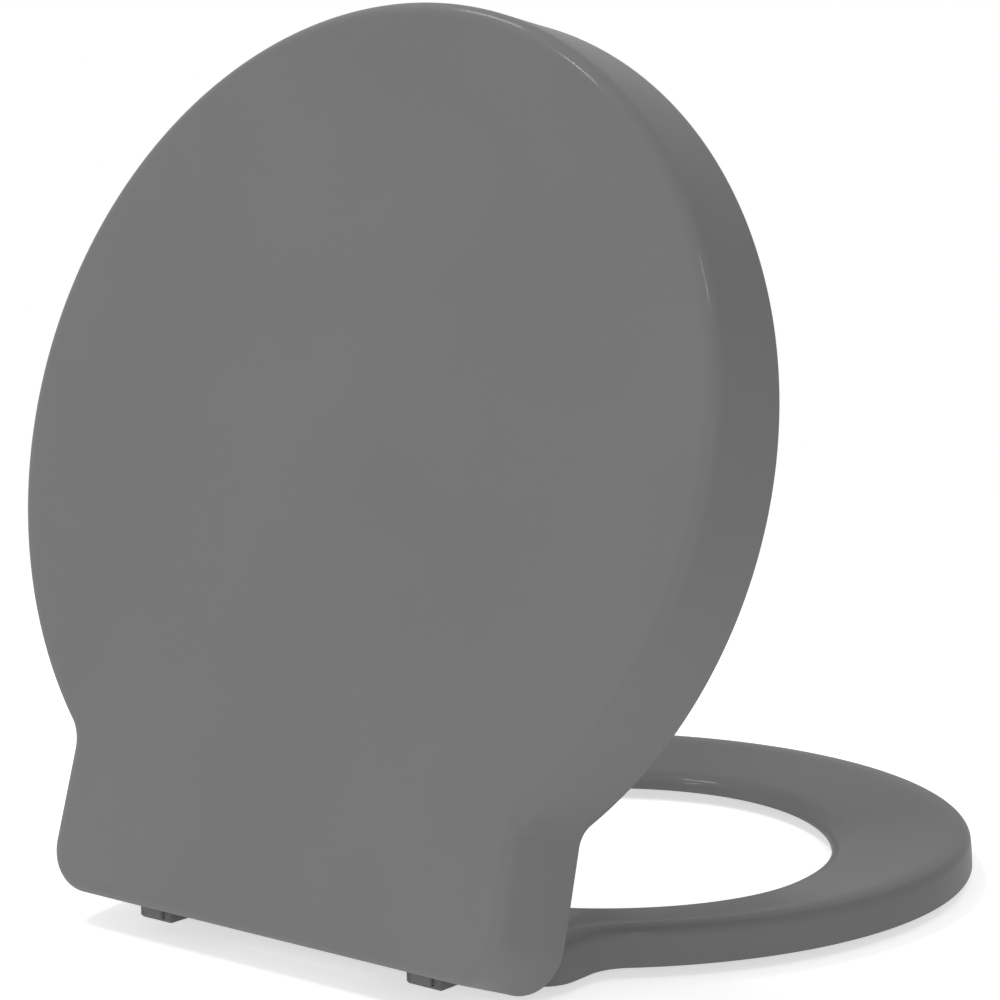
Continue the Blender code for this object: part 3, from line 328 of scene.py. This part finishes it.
class Finish:
    """One material, with a method that adds any node to it."""

    def __init__(self, name):
        self.material = bpy.data.materials.new(name)
        self.material.use_nodes = True
        self.tree = self.material.node_tree
        self.shader = self.tree.nodes["Principled BSDF"]

    def put(self, place, value):
        if isinstance(value, Value):
            self.tree.links.new(value.socket, place)
        else:
            place.default_value = value

    def node(self, kind, settings, inputs, output=0):
        made = self.tree.nodes.new("ShaderNode" + kind)
        for name, value in settings.items():
            setattr(made, name, value)
        for name, value in inputs.items():
            self.put(made.inputs[name], value)
        return Value(self.tree, made.outputs[output])

    def place(self, scale=(1, 1, 1)):
        """Object coordinates, stretched."""
        here = self.node("TexCoord", {}, {}, "Object")
        return self.node("Mapping", {}, {"Vector": here, "Scale": scale})

    def noise(self, scale, detail, stretch=(1, 1, 1)):
        return self.node("TexNoise", {}, {"Vector": self.place(stretch), "Scale": scale,
                                          "Detail": detail})

    def span(self, value, low, high):
        """How far the value is on its way from low to high, eased at both ends."""
        return self.node("MapRange", {"interpolation_type": "SMOOTHSTEP"},
                         {"Value": value, "From Min": low, "From Max": high})

    def tint(self, share, first, second):
        """A colour between two, by a share."""
        return self.node("Mix", {"data_type": "RGBA"},
                         {"Factor": share, 6: (*first, 1), 7: (*second, 1)}, 2)

    def bump(self, height, strength, distance):
        normal = self.node("Bump", {}, {"Height": height, "Strength": strength,
                                        "Distance": distance}, "Normal")
        self.put(self.shader.inputs["Normal"], normal)

    def set(self, **constants):
        for name, value in constants.items():
            self.put(self.shader.inputs[name.replace("_", " ")], value)


CLOUD_SCALE, HANDLED_SCALE = 11.0, 7.0      # of the plastic's patterns, per metre
PEEL_SCALE, GRAIN_SCALE = 160.0, 1500.0
GRAIN_HEIGHT = 0.00003


def moulded_plastic(name, colour, roughness, specular, polish=0.0, mottle=0.05):
    """Moulded plastic: a faint cloudiness, a very fine grain and a polished skin."""
    made = Finish(name)
    cloud = made.noise(CLOUD_SCALE, 3.0)
    dark = tuple(c * (1 - mottle) for c in colour)
    pale = tuple(c * (1 + mottle) for c in colour)
    made.put(made.shader.inputs["Base Color"], made.tint(cloud, dark, pale))
    handled = made.span(made.noise(HANDLED_SCALE, 2.0), 0.35, 0.7)
    made.put(made.shader.inputs["Roughness"], roughness + handled * 0.05)
    if polish:
        made.put(made.shader.inputs["Coat Weight"], polish - handled * 0.04)
        made.set(Coat_Roughness=0.10)
    grain = made.noise(GRAIN_SCALE, 2.0)
    peel = made.noise(PEEL_SCALE, 1.0)
    made.bump(grain * 0.5 + peel * 0.5, 0.3, GRAIN_HEIGHT)
    made.set(Specular_IOR_Level=specular)
    return made.material


lid_plastic = moulded_plastic("lid_plastic_moulded", LID_GREY, roughness=0.50,
                              specular=0.05, polish=0.12)

LID_LINE = outline(-TAB_REAR_BEHIND, TAB_CORNER_RADIUS, 0.0)


def turns(steps, end=math.pi / 2):
    """Angles from nothing to the end, in equal steps."""
    return [end * i / steps for i in range(steps + 1)]


def lid_rows():
    """Loops from the middle of the face, down the wall, round the rim and up inside."""
    draft = math.atan(LID_FLARE / LID_DEPTH)
    tangent = LID_EDGE_RADIUS * math.tan((math.pi / 2 - draft) / 2)
    rim = LID_FACE_ABOVE - LID_DEPTH
    wall = LID_WALL / math.cos(draft)

    def wall_outset(above):
        return LID_FLARE * (LID_FACE_ABOVE - above) / LID_DEPTH

    section = [(-tangent - loop, LID_FACE_ABOVE) for loop in LID_FACE_LOOPS]
    for turn in turns(12, math.pi / 2 - draft):
        section.append((-tangent + LID_EDGE_RADIUS * math.sin(turn),
                        LID_FACE_ABOVE - LID_EDGE_RADIUS * (1 - math.cos(turn))))
    above = LID_FACE_ABOVE - LID_EDGE_RADIUS
    for share in (0.1, 0.4, 0.7, 0.9):
        height = above + (rim + LID_RIM_ROUND - above) * share
        section.append((wall_outset(height), height))
    for turn in turns(5):
        section.append((LID_FLARE - LID_RIM_ROUND * (1 - math.cos(turn)),
                        rim + LID_RIM_ROUND * (1 - math.sin(turn))))
    for turn in turns(5):
        section.append((LID_FLARE - wall + LID_RIM_ROUND * (1 - math.sin(turn)),
                        rim + LID_RIM_ROUND * (1 - math.cos(turn))))
    ceiling = LID_FACE_ABOVE - LID_WALL
    above = ceiling - LID_INNER_ROUND
    for share in (0.1, 0.5, 0.9):
        height = rim + LID_RIM_ROUND + (above - rim - LID_RIM_ROUND) * share
        section.append((wall_outset(height) - wall, height))
    for turn in turns(6):
        section.append((wall_outset(above) - wall - LID_INNER_ROUND * (1 - math.cos(turn)),
                        above + LID_INNER_ROUND * math.sin(turn)))
    section += [(wall_outset(above) - wall - LID_INNER_ROUND - loop, ceiling)
                for loop in LID_CEILING_LOOPS]
    return [row(LID_LINE, *spot) for spot in section]


lid = skin("lid", lid_rows(), ends=True)
through = (-TAB_REAR_BEHIND - LID_FLARE - 2 * OVERCUT, TAB_CORNER_RADIUS - TAB_REAR_BEHIND)
below = LID_FACE_ABOVE - LID_DEPTH - OVERCUT
carve(lid, [block((-SKIRT_FULL_FROM, SKIRT_FULL_FROM), through, (below, SKIRT_ABOVE))])
notch_top = LID_FACE_ABOVE - LID_EDGE_RADIUS + OVERCUT
carve(lid, [block((side * NOTCH_NEAR, side * NOTCH_FAR), through, (below, notch_top))
            for side in (-1, 1)])

under_face = LID_FACE_ABOVE - LID_WALL / 2
lug_view = [(LUG_RADIUS * math.cos(math.pi * (1 + i / 24)),
             LUG_RADIUS * math.sin(math.pi * (1 + i / 24))) for i in range(25)]
lug_view += [(LID_LUG_AHEAD, under_face), (-LID_LUG_BEHIND, under_face)]
carve(lid, [soften(plate(lug_view, (side * LID_LUG[0], side * LID_LUG[1])), LUG_ROUND)
            for side in (-1, 1)], "UNION")

peg_spots = []
for node in ("lid_buffer_front_left", "lid_buffer_front_right",
             "lid_buffer_rear_left", "lid_buffer_rear_right"):
    low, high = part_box(node)
    closed = OPENED.inverted() @ ((low + high) / 2)
    peg_spots.append((node, closed.x, -closed.y))
RUBBER_LOW = SEAT_TOP + CLEARANCE
RUBBER_FLOOR = RUBBER_LOW + RUBBER_PAD
RUBBER_TOP = RUBBER_FLOOR + RUBBER_SLEEVE
peg_end = RUBBER_FLOOR + CLEARANCE
peg_profile = [(0, under_face), (PEG_ROOT_RADIUS, under_face),
               (PEG_WAIST_RADIUS, under_face - PEG_WAIST_BELOW),
               (PEG_SHOULDER_RADIUS, RUBBER_TOP + OVERCUT),
               (PEG_RADIUS, RUBBER_TOP + CLEARANCE), (PEG_RADIUS, peg_end + PEG_CHAMFER),
               (PEG_RADIUS - PEG_CHAMFER, peg_end), (0, peg_end)]
carve(lid, [turned(peg_profile, across, ahead) for _, across, ahead in peg_spots], "UNION")
carve(lid, [drum(LUG_BORE, (side * (LID_LUG[0] - OVERCUT), side * (LID_LUG[0] + LUG_BORE_DEPTH)))
            for side in (-1, 1)])
finish_piece(lid, "lid", OPENED, lid_plastic, "lid", ["lid_shell"])


# Seat ring.  Moulded in the same plastic, hollow below: a raised crest near the outer edge,
# a top that dips towards the hole and a rolled lip round it.  Ribs brace the hollow, four
# cups hold the rubber feet, and two lugs turn round the hinge pins.
SEAT_INSET = 0.0060
SEAT_REAR_AHEAD = 0.0195
SEAT_BOTTOM = -0.0160
SEAT_CREST = 0.0161
SEAT_CREST_DROP = 0.0004
SEAT_EDGE_RADIUS = 0.0044
SEAT_LAND = 0.0006
SEAT_LEAN = 0.0008
SEAT_CREST_LOOPS = ((0.0070, 0.00005), (0.0095, 0.0), (0.0118, 0.00014))    # inset, drop
SEAT_SLOPE_INSET = 0.0140
SEAT_CORNER_RADIUS = 0.0165
SEAT_LIP = 0.0088
SEAT_LIP_WIDTH = 0.0100
LIP_CURVE = ((1.0, 1.0), (0.55, 0.913), (0.0, 0.614))       # shares of its width, height
SEAT_SKIN = 0.0031
HOLLOW_BY_HOLE = ((0.0039, 0.0035), (0.0061, 0.0049))       # inset, height
HOLLOW_BY_EDGE = ((0.0070, 0.0004), (0.0039, 0.0022))       # inset, below the skin
SEAT_RIB = 0.0018
RIB_SINK = SEAT_SKIN * 0.55                                 # into the skin and the walls
RIB_FOOT, RIB_LIP_FOOT = 0.0012, 0.0044
RIB_ANGLES = (0, 24, 48, 72, 96, 118)
HOLE_HALF_WIDTH = 0.1153
HOLE_CENTRE_AHEAD = 0.1890
HOLE_FRONT_REACH = 0.1313
HOLE_REAR_REACH = 0.1048
HOLE_SQUARENESS = 1.945
SEAT_LUG = (0.0380, 0.0655)
CUP_RADIUS = 0.0050
FOOT_STEM = 0.0023
FOOT_STEM_LENGTH = 0.0045
SEAT_GREY = (0.168, 0.168, 0.171)

seat_plastic = moulded_plastic("seat_plastic_moulded", SEAT_GREY, roughness=0.50,
                               specular=0.05, polish=0.12)

SEAT_LINE = outline(SEAT_REAR_AHEAD, SEAT_CORNER_RADIUS, SEAT_INSET)


def hole_edge(turn):
    """Edge of the hole; turn 0 is the right side, a quarter turn the front."""
    def at(angle):
        c, s = math.cos(angle), math.sin(angle)
        reach = HOLE_FRONT_REACH if s >= 0 else HOLE_REAR_REACH
        size = (abs(c / HOLE_HALF_WIDTH) ** HOLE_SQUARENESS
                + abs(s / reach) ** HOLE_SQUARENESS) ** (-1 / HOLE_SQUARENESS)
        return Vector((size * c, HOLE_CENTRE_AHEAD + size * s))
    here = at(turn)
    along = (at(turn + 1e-4) - at(turn - 1e-4)).normalized()
    return (here.x, here.y, along.y, -along.x)


HOLE_LINE = [hole_edge(math.atan2(y - HOLE_CENTRE_AHEAD, x)) for x, y, _, _ in SEAT_LINE]


def dish(share):
    """Height of the top between the crest (share 0) and the lip (share 1)."""
    start = SEAT_CREST - SEAT_CREST_DROP
    return start + (SEAT_LIP - start) * share


def seat_rows():
    """Loops up the outer wall, over the top, down the lip and back through the hollow."""
    def out(inset, height):
        return row(SEAT_LINE, -inset, SEAT_BOTTOM + height)

    def near_hole(outset, height):
        return row(HOLE_LINE, outset, SEAT_BOTTOM + height)

    def dished(share, lower=0.0):
        start, end = out(SEAT_SLOPE_INSET, 0), near_hole(SEAT_LIP_WIDTH, 0)
        drop = Vector((0, 0, dish(share) - lower))
        return [a.lerp(b, share) + drop for a, b in zip(start, end)]

    shoulder = SEAT_CREST - SEAT_CREST_DROP / 2
    chamfer = SEAT_LAND * 0.3
    rows = [out(SEAT_LAND, 0), out(chamfer, chamfer), out(0, SEAT_LAND),
            out(SEAT_LEAN * 0.5, shoulder / 2), out(SEAT_LEAN, shoulder - SEAT_EDGE_RADIUS)]
    for turn in turns(8)[1:]:
        rows.append(out(SEAT_LEAN + SEAT_EDGE_RADIUS * (1 - math.cos(turn)),
                        shoulder - SEAT_EDGE_RADIUS * (1 - math.sin(turn))))
    rows += [out(inset, SEAT_CREST - drop) for inset, drop in SEAT_CREST_LOOPS]
    rows += [dished(i / 10) for i in range(11)]
    knots = [(SEAT_LIP_WIDTH * wide, SEAT_LIP * high) for wide, high in LIP_CURVE]
    knots.append((0.0, SEAT_LAND))
    for i in range(1, 15):
        t = i / 14
        weights = ((1 - t) ** 3, 3 * t * (1 - t) ** 2, 3 * t * t * (1 - t), t ** 3)
        rows.append(near_hole(*(sum(w * k[n] for w, k in zip(weights, knots))
                                for n in (0, 1))))
    rows += [near_hole(chamfer, chamfer), near_hole(SEAT_LAND, 0), near_hole(SEAT_SKIN, 0)]
    rows += [near_hole(*spot) for spot in HOLLOW_BY_HOLE]
    rows += [dished(share, SEAT_SKIN) for share in (1.0, 0.5, 0.0)]
    rows += [out(inset, SEAT_CREST - SEAT_SKIN - below) for inset, below in HOLLOW_BY_EDGE]
    return rows + [out(SEAT_SKIN, 0)]


def seat_edge(angle):
    """Point and normal of the seat's outline at an angle from the front, on the right."""
    wanted = math.radians(90 - angle)
    right = [spot for spot in SEAT_LINE if spot[0] > -1e-6]
    turns = [math.atan2(spot[1] - HOLE_CENTRE_AHEAD, spot[0]) for spot in right]
    for i in range(len(right) - 1):
        if turns[i] <= wanted <= turns[i + 1]:
            share = (wanted - turns[i]) / (turns[i + 1] - turns[i])
            return tuple(a + (b - a) * share for a, b in zip(right[i], right[i + 1]))
    return right[-1]


def rib(outer, inner):
    """One rib from the outer wall to the hole's wall, up into the skin above it."""
    start, end = Vector(outer[:2]), Vector(inner[:2])
    way = (end - start).normalized()
    length = (end - start).length
    slant_out = abs(way.dot(Vector(outer[2:])))
    slant_in = abs(way.dot(Vector(inner[2:])))
    by_hole = [(RIB_SINK, RIB_FOOT), (0.0025, RIB_LIP_FOOT),
               (0.0060, SEAT_LIP - RIB_SINK - SEAT_LEAN), (SEAT_LIP_WIDTH, dish(1) - RIB_SINK)]
    by_edge = [(SEAT_SLOPE_INSET, dish(0) - RIB_SINK),
               (0.0052, SEAT_CREST - RIB_SINK - SEAT_CREST_DROP),
               (0.0025, SEAT_CREST - RIB_SINK - SEAT_EDGE_RADIUS / 2)]
    view = [(RIB_SINK / slant_out, RIB_FOOT)]
    view += [(length - reach / slant_in, height) for reach, height in by_hole]
    view += [(reach / slant_out, height) for reach, height in by_edge]
    made = plate(view, (-SEAT_RIB / 2, SEAT_RIB / 2))
    swing = math.atan2(-way.y, way.x) + math.pi / 2
    made.data.transform(Matrix.Translation((start.x, -start.y, SEAT_BOTTOM))
                        @ Matrix.Rotation(swing, 4, "Z"))
    return made


def mirrored(spot):
    return (-spot[0], spot[1], -spot[2], spot[3])


rib_ends = [(seat_edge(angle), hole_edge(math.radians(90 - angle))) for angle in RIB_ANGLES]
for across in (SEAT_LUG[0] + SEAT_RIB, SEAT_LUG[1] - SEAT_RIB):
    behind = [spot for spot in HOLE_LINE if spot[1] < HOLE_CENTRE_AHEAD and spot[0] > 0]
    nearest = min(behind, key=lambda spot: abs(spot[0] - across))
    rib_ends.append(((across, SEAT_REAR_AHEAD, 0, -1), (across, *nearest[1:])))
ribs = []
for outer_end, inner_end in rib_ends:
    ribs.append(rib(outer_end, inner_end))
    if outer_end[0] > SEAT_RIB:
        ribs.append(rib(mirrored(outer_end), mirrored(inner_end)))

seat = skin("seat", seat_rows(), ends=False)
carve(seat, ribs, "UNION")


def dish_at(across, ahead):
    """Height of the dished top over a spot on the right."""
    angle = math.atan2(across, ahead - HOLE_CENTRE_AHEAD)
    x, y, nx, ny = seat_edge(math.degrees(angle))
    crest = Vector((x - nx * SEAT_SLOPE_INSET, y - ny * SEAT_SLOPE_INSET))
    x, y, nx, ny = hole_edge(math.pi / 2 - angle)
    slope = Vector((x + nx * SEAT_LIP_WIDTH, y + ny * SEAT_LIP_WIDTH)) - crest
    return dish((Vector((across, ahead)) - crest).dot(slope) / slope.length_squared)


foot_spots = []
for node in ("seat_buffer_front_left", "seat_buffer_front_right",
             "seat_buffer_rear_left", "seat_buffer_rear_right"):
    low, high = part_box(node)
    foot_spots.append((node, (low.x + high.x) / 2, HINGE_LINE.y - (low.y + high.y) / 2))
cups = []
for _, across, ahead in foot_spots:
    top = dish_at(abs(across), ahead) - SEAT_SKIN / 2
    cup_view = [(0, top), (CUP_RADIUS, top), (CUP_RADIUS, 0), (FOOT_STEM + CLEARANCE, 0),
                (FOOT_STEM + CLEARANCE, FOOT_STEM_LENGTH), (0, FOOT_STEM_LENGTH)]
    cups.append(turned(cup_view, across, ahead, SEAT_BOTTOM, 32))
carve(seat, cups, "UNION")

lug_view = [(LUG_RADIUS * math.cos(math.pi / 2 + math.radians(195) * i / 30),
             LUG_RADIUS * math.sin(math.pi / 2 + math.radians(195) * i / 30))
            for i in range(31)]
inside = SEAT_REAR_AHEAD + SEAT_SKIN / 2
lug_view += [(inside, SEAT_BOTTOM + SEAT_SKIN), (inside, SEAT_TOP - SEAT_EDGE_RADIUS),
             (SEAT_REAR_AHEAD + 0.0110, SEAT_TOP - SEAT_SKIN / 2),
             (SEAT_REAR_AHEAD + 0.0090, SEAT_TOP + SEAT_CREST_DROP),
             (SEAT_REAR_AHEAD - 0.0050, LUG_RADIUS * 0.45),
             (LUG_RADIUS * 0.62, LUG_RADIUS * 0.90)]
carve(seat, [soften(plate(lug_view, (side * SEAT_LUG[0], side * SEAT_LUG[1])), LUG_ROUND)
             for side in (-1, 1)], "UNION")
carve(seat, [drum(LUG_BORE, (side * (SEAT_LUG[1] + OVERCUT),
                             side * (SEAT_LUG[1] - LUG_BORE_DEPTH))) for side in (-1, 1)])
finish_piece(seat, "seat", CLOSED, seat_plastic, "seat", ["seat_ring"])


# Rubber buffers.  Soft grey rubber: four feet pressed into the cups under the seat, and
# four cups pushed on to the lid's pegs.  Their edges are rounded and the feet a little
# narrower where they stand.
BUFFER_RADIUS = 0.0080
FOOT_TREAD_RADIUS = 0.0074
FOOT_ROUND, RUBBER_ROUND = 0.0011, 0.0009
BUFFER_CREASE = 50                          # degrees; a sharper fold stays an edge
RUBBER_DARK, RUBBER_PALE = (0.52, 0.52, 0.52), (0.63, 0.63, 0.62)


def soft_rubber():
    made = Finish("buffer_rubber_matt")
    cloud = made.noise(240.0, 4.0)
    dusty = made.span(made.noise(35.0, 2.0), 0.4, 0.7)
    made.put(made.shader.inputs["Base Color"], made.tint(dusty, RUBBER_DARK, RUBBER_PALE))
    made.put(made.shader.inputs["Roughness"], 0.62 + cloud * 0.2)
    made.bump(cloud, 0.4, 0.00006)
    made.set(Specular_IOR_Level=0.3)
    return made.material


buffer_rubber = soft_rubber()


def rounded(corners, radius, steps=4):
    """A profile with its inner corners rounded off, given as (radius, height) points."""
    points = [corners[0]]
    for before, here, after in zip(corners, corners[1:], corners[2:]):
        here = Vector(here)
        back = Vector(before) - here
        on = Vector(after) - here
        reach = min(radius, back.length / 2, on.length / 2)
        first, last = here + back.normalized() * reach, here + on.normalized() * reach
        for i in range(steps + 1):
            t = i / steps
            points.append(tuple(first * (1 - t) ** 2 + here * 2 * t * (1 - t) + last * t ** 2))
    return points + [corners[-1]]


foot_top = SEAT_BOTTOM - CLEARANCE
foot_low = -HINGE_LINE.z
stem_top = SEAT_BOTTOM + FOOT_STEM_LENGTH - CLEARANCE
foot_profile = rounded([(0, stem_top), (FOOT_STEM, stem_top), (FOOT_STEM, foot_top),
                        (BUFFER_RADIUS, foot_top), (FOOT_TREAD_RADIUS, foot_low),
                        (0, foot_low)], FOOT_ROUND)
for node, across, ahead in foot_spots:
    finish_piece(turned(foot_profile, across, ahead), node.replace("buffer", "foot"), CLOSED,
                 buffer_rubber, "seat", [node], BUFFER_CREASE)

inner = PEG_RADIUS + CLEARANCE
cup_profile = rounded([(0, RUBBER_FLOOR), (inner, RUBBER_FLOOR), (inner, RUBBER_TOP),
                       (BUFFER_RADIUS, RUBBER_TOP), (BUFFER_RADIUS, RUBBER_LOW),
                       (0, RUBBER_LOW)], RUBBER_ROUND)
for node, across, ahead in peg_spots:
    finish_piece(turned(cup_profile, across, ahead), node.replace("buffer", "rubber"), OPENED,
                 buffer_rubber, "lid", [node], BUFFER_CREASE)


# Hinge posts.  Dark moulded nylon, one on each fixing hole of the bowl: a round boss for the
# steel pin on a square foot, a socket below for the stud and a pocket behind for the button.
POST = (0.0660, 0.0840)
POST_BOSS_RADIUS = 0.0090
POST_FOOT = -0.0157
POST_BEHIND, POST_AHEAD = 0.0072, 0.0105
POST_BACK_TOP, POST_FRONT_TOP = -0.0030, -0.0040            # where the boss meets the foot
POST_BACK_CHAMFER, POST_FRONT_CHAMFER = 0.0012, 0.0030
POST_ROUND = 0.0007
PIN_HOLE = 0.0033
STUD_SOCKET = 0.0046
SOCKET_LENGTH, SOCKET_MIDDLE = 0.0110, 0.0045
BUTTON_ABOVE = -0.0112
BUTTON_HALF_WIDTH, BUTTON_HALF_HEIGHT = 0.0055, 0.0029      # of the pocket round it
BUTTON_POCKET_END = -0.0034
CATCH_HALF_HEIGHT = 0.0017                                  # of the slot for its catch plate
CATCH_SLOT_WALL = 0.0012
POST_GREY = (0.165, 0.165, 0.168)

post_plastic = moulded_plastic("post_plastic_moulded", POST_GREY, roughness=0.50,
                               specular=0.10)

post_view = [spot[:2] for spot in arc((0, 0), POST_BOSS_RADIUS, 20, 170, 32)]
post_view += [(-POST_BEHIND, POST_BACK_TOP), (-POST_BEHIND, POST_FOOT + POST_BACK_CHAMFER),
              (-POST_BEHIND + POST_BACK_CHAMFER, POST_FOOT),
              (POST_AHEAD - POST_FRONT_CHAMFER, POST_FOOT),
              (POST_AHEAD, POST_FOOT + POST_FRONT_CHAMFER), (POST_AHEAD, POST_FRONT_TOP)]
for side, name in ((-1, "left"), (1, "right")):
    post = soften(plate(post_view, (side * POST[0], side * POST[1])), POST_ROUND)
    middle = side * (POST[0] + POST[1]) / 2
    bpy.ops.object.select_all(action="DESELECT")
    bpy.ops.mesh.primitive_cylinder_add(vertices=48, radius=STUD_SOCKET, depth=SOCKET_LENGTH,
                                        location=(middle, 0, POST_FOOT + SOCKET_MIDDLE))
    socket = bpy.context.object
    bpy.ops.object.transform_apply(location=True, rotation=True, scale=True)
    carve(post, [drum(PIN_HOLE, (side * (POST[0] - OVERCUT), side * (POST[1] + OVERCUT)))])
    carve(post, [socket])
    wide = (middle - BUTTON_HALF_WIDTH, middle + BUTTON_HALF_WIDTH)
    carve(post, [block(wide, (-POST_BEHIND - OVERCUT, BUTTON_POCKET_END),
                       (BUTTON_ABOVE - BUTTON_HALF_HEIGHT, BUTTON_ABOVE + BUTTON_HALF_HEIGHT))])
    carve(post, [block(wide, (-POST_BEHIND, POST_AHEAD - CATCH_SLOT_WALL),
                       (BUTTON_ABOVE - CATCH_HALF_HEIGHT, BUTTON_ABOVE + CATCH_HALF_HEIGHT))])
    finish_piece(post, name + "_post", CLOSED, post_plastic, "hinge_posts",
                 [name + "_hinge_post"])


# Small hinge parts.  Ground steel pins, drawn wire springs, push buttons in paler plastic,
# and inside the lugs a white damper with a black rotor on one side and a bush on the other.
PIN_STEEL, SPRING_STEEL = (0.55, 0.56, 0.58), (0.50, 0.50, 0.52)
DAMPER_WHITE, BUSH_WHITE = (0.72, 0.72, 0.70), (0.76, 0.76, 0.74)
ROTOR_BLACK = (0.05, 0.05, 0.05)


def brushed_steel(name, colour, roughness, stretch, scale):
    """Steel with fine lines along the way it was ground or drawn, a little worn."""
    made = Finish(name)
    lines = made.noise(scale, 3.0, stretch)
    worn = made.span(made.noise(120.0, 2.0), 0.35, 0.75)
    made.put(made.shader.inputs["Base Color"],
             made.tint(worn, colour, tuple(c * 0.86 for c in colour)))
    made.put(made.shader.inputs["Roughness"], roughness + lines * 0.16)
    made.bump(lines, 0.3, 0.00002)
    made.set(Metallic=1.0)
    return made.material


def dress(finish, *names):
    """Give CAD pieces that stay as they are their own finish."""
    for name in names:
        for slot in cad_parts[name].material_slots:
            slot.material = finish


both = ("left_", "right_")
dress(brushed_steel("pin_steel_ground", PIN_STEEL, 0.2, (0.05, 1, 1), 2600.0),
      *[side + "hinge_pin" for side in both])
dress(brushed_steel("spring_steel_drawn", SPRING_STEEL, 0.26, (1, 0.2, 1), 1800.0),
      *[side + "button_spring" for side in both])
dress(moulded_plastic("button_plastic_moulded", LID_GREY, roughness=0.45, specular=0.10),
      *[side + "release_button" for side in both])
dress(moulded_plastic("damper_plastic_moulded", DAMPER_WHITE, roughness=0.38, specular=0.45,
                      mottle=0.03),
      "lid_damper_housing", "lid_damper_cap", "seat_damper_housing", "seat_damper_cap")
dress(moulded_plastic("rotor_plastic_moulded", ROTOR_BLACK, roughness=0.42, specular=0.4),
      "lid_damper_rotor", "seat_damper_rotor")
dress(moulded_plastic("bush_plastic_moulded", BUSH_WHITE, roughness=0.48, specular=0.4,
                      mottle=0.03), "lid_hinge_bush", "seat_hinge_bush")


# Studio.  A pale matt floor that fades into a white surround, with soft light from all
# round.  Two large lamps light the sides, and three small ones above put the thin bright
# lines along the rounded edges.
AMBIENT = 0.375
FLOOR_GREY = 0.86
FLOOR_LIFT = 0.60                           # the floor's own white, as the camera sees it
FLOOR_GLOW = 0.38                           # and as it lights the object
FLOOR_RADIUS = 1.6
FLOOR_FADE = (0.45, 1.4)
AIM = Vector((-0.1086, 0.1756, 0.2051))
CAMERA_PLACE = (-0.8504, 1.1009, 0.3908)
CAMERA_LENS, CAMERA_FILM = 112.47, 36.0     # millimetres
CAMERA_ROLL = math.radians(-0.06)


def ray_share(finish, *kinds):
    """1 where a ray is one of these kinds."""
    share = None
    for kind in kinds:
        seen = finish.node("LightPath", {}, {}, kind)
        share = seen if share is None else share.maths("MAXIMUM", share, seen)
    return share


class Surround(Finish):
    """The world's nodes, with the same methods as a material's."""

    def __init__(self, world):
        world.use_nodes = True
        self.tree = world.node_tree


world = bpy.data.worlds.new("white_surround")
bpy.context.scene.world = world
surround = Surround(world)
background = world.node_tree.nodes["Background"]
background.inputs["Color"].default_value = (1, 1, 1, 1)
seen_share = ray_share(surround, "Is Camera Ray", "Is Glossy Ray", "Is Transmission Ray")
surround.put(background.inputs["Strength"], AMBIENT + seen_share * (1 - AMBIENT))

bpy.ops.object.select_all(action="DESELECT")
bpy.ops.mesh.primitive_circle_add(vertices=128, radius=FLOOR_RADIUS, fill_type="NGON")
floor = bpy.context.object
floor.name = "floor"
paint = Finish("pale_floor")
paint.tree.nodes.remove(paint.shader)
matt = paint.node("BsdfDiffuse", {}, {"Color": (FLOOR_GREY,) * 3 + (1,)})
lift = FLOOR_GLOW + ray_share(paint, "Is Camera Ray") * (FLOOR_LIFT - FLOOR_GLOW)
glow = paint.node("Emission", {}, {"Strength": lift})
lit = paint.node("AddShader", {}, {0: matt, 1: glow})
clear = paint.node("BsdfTransparent", {}, {})
distance = paint.node("VectorMath", {"operation": "LENGTH"}, {0: paint.place()}, "Value")
faded = paint.node("MixShader", {}, {"Fac": paint.span(distance, *FLOOR_FADE), 1: lit, 2: clear})
output = next(n for n in paint.tree.nodes if n.type == "OUTPUT_MATERIAL")
paint.put(output.inputs["Surface"], faded)
floor.data.materials.append(paint.material)


def lamp(name, size, share, place):
    """A square soft lamp aimed at the object; share is how much of a white it lights."""
    light = bpy.data.lights.new(name, "AREA")
    light.shape = "SQUARE"
    light.size = size
    away = Vector(place) - AIM
    light.energy = share * math.pi ** 2 * away.length_squared
    holder = bpy.data.objects.new(name, light)
    bpy.context.scene.collection.objects.link(holder)
    holder.location = place
    holder.rotation_euler = away.to_track_quat("Z", "Y").to_euler()


lamp("front", 1.2, 0.215, (-1.15, 1.45, 0.45))
lamp("fill", 1.2, 0.12, (1.60, 1.00, 0.50))
lamp("high_right", 0.24, 0.13, (-1.00, 0.70, 1.50))
lamp("high_left", 0.22, 0.16, (0.57, 1.00, 1.96))
lamp("overhead", 0.30, 0.25, (0.66, 0.05, 1.68))

view = bpy.data.cameras.new("camera")
view.lens = CAMERA_LENS
view.sensor_width = CAMERA_FILM
camera = bpy.data.objects.new("camera", view)
bpy.context.scene.collection.objects.link(camera)
camera.location = CAMERA_PLACE
aimed = (camera.location - AIM).to_track_quat("Z", "Y").to_matrix()
camera.rotation_euler = (aimed @ Matrix.Rotation(CAMERA_ROLL, 3, "Z")).to_euler()
bpy.context.scene.camera = camera
bpy.context.scene.view_settings.view_transform = "Standard"

bpy.ops.object.select_all(action="DESELECT")
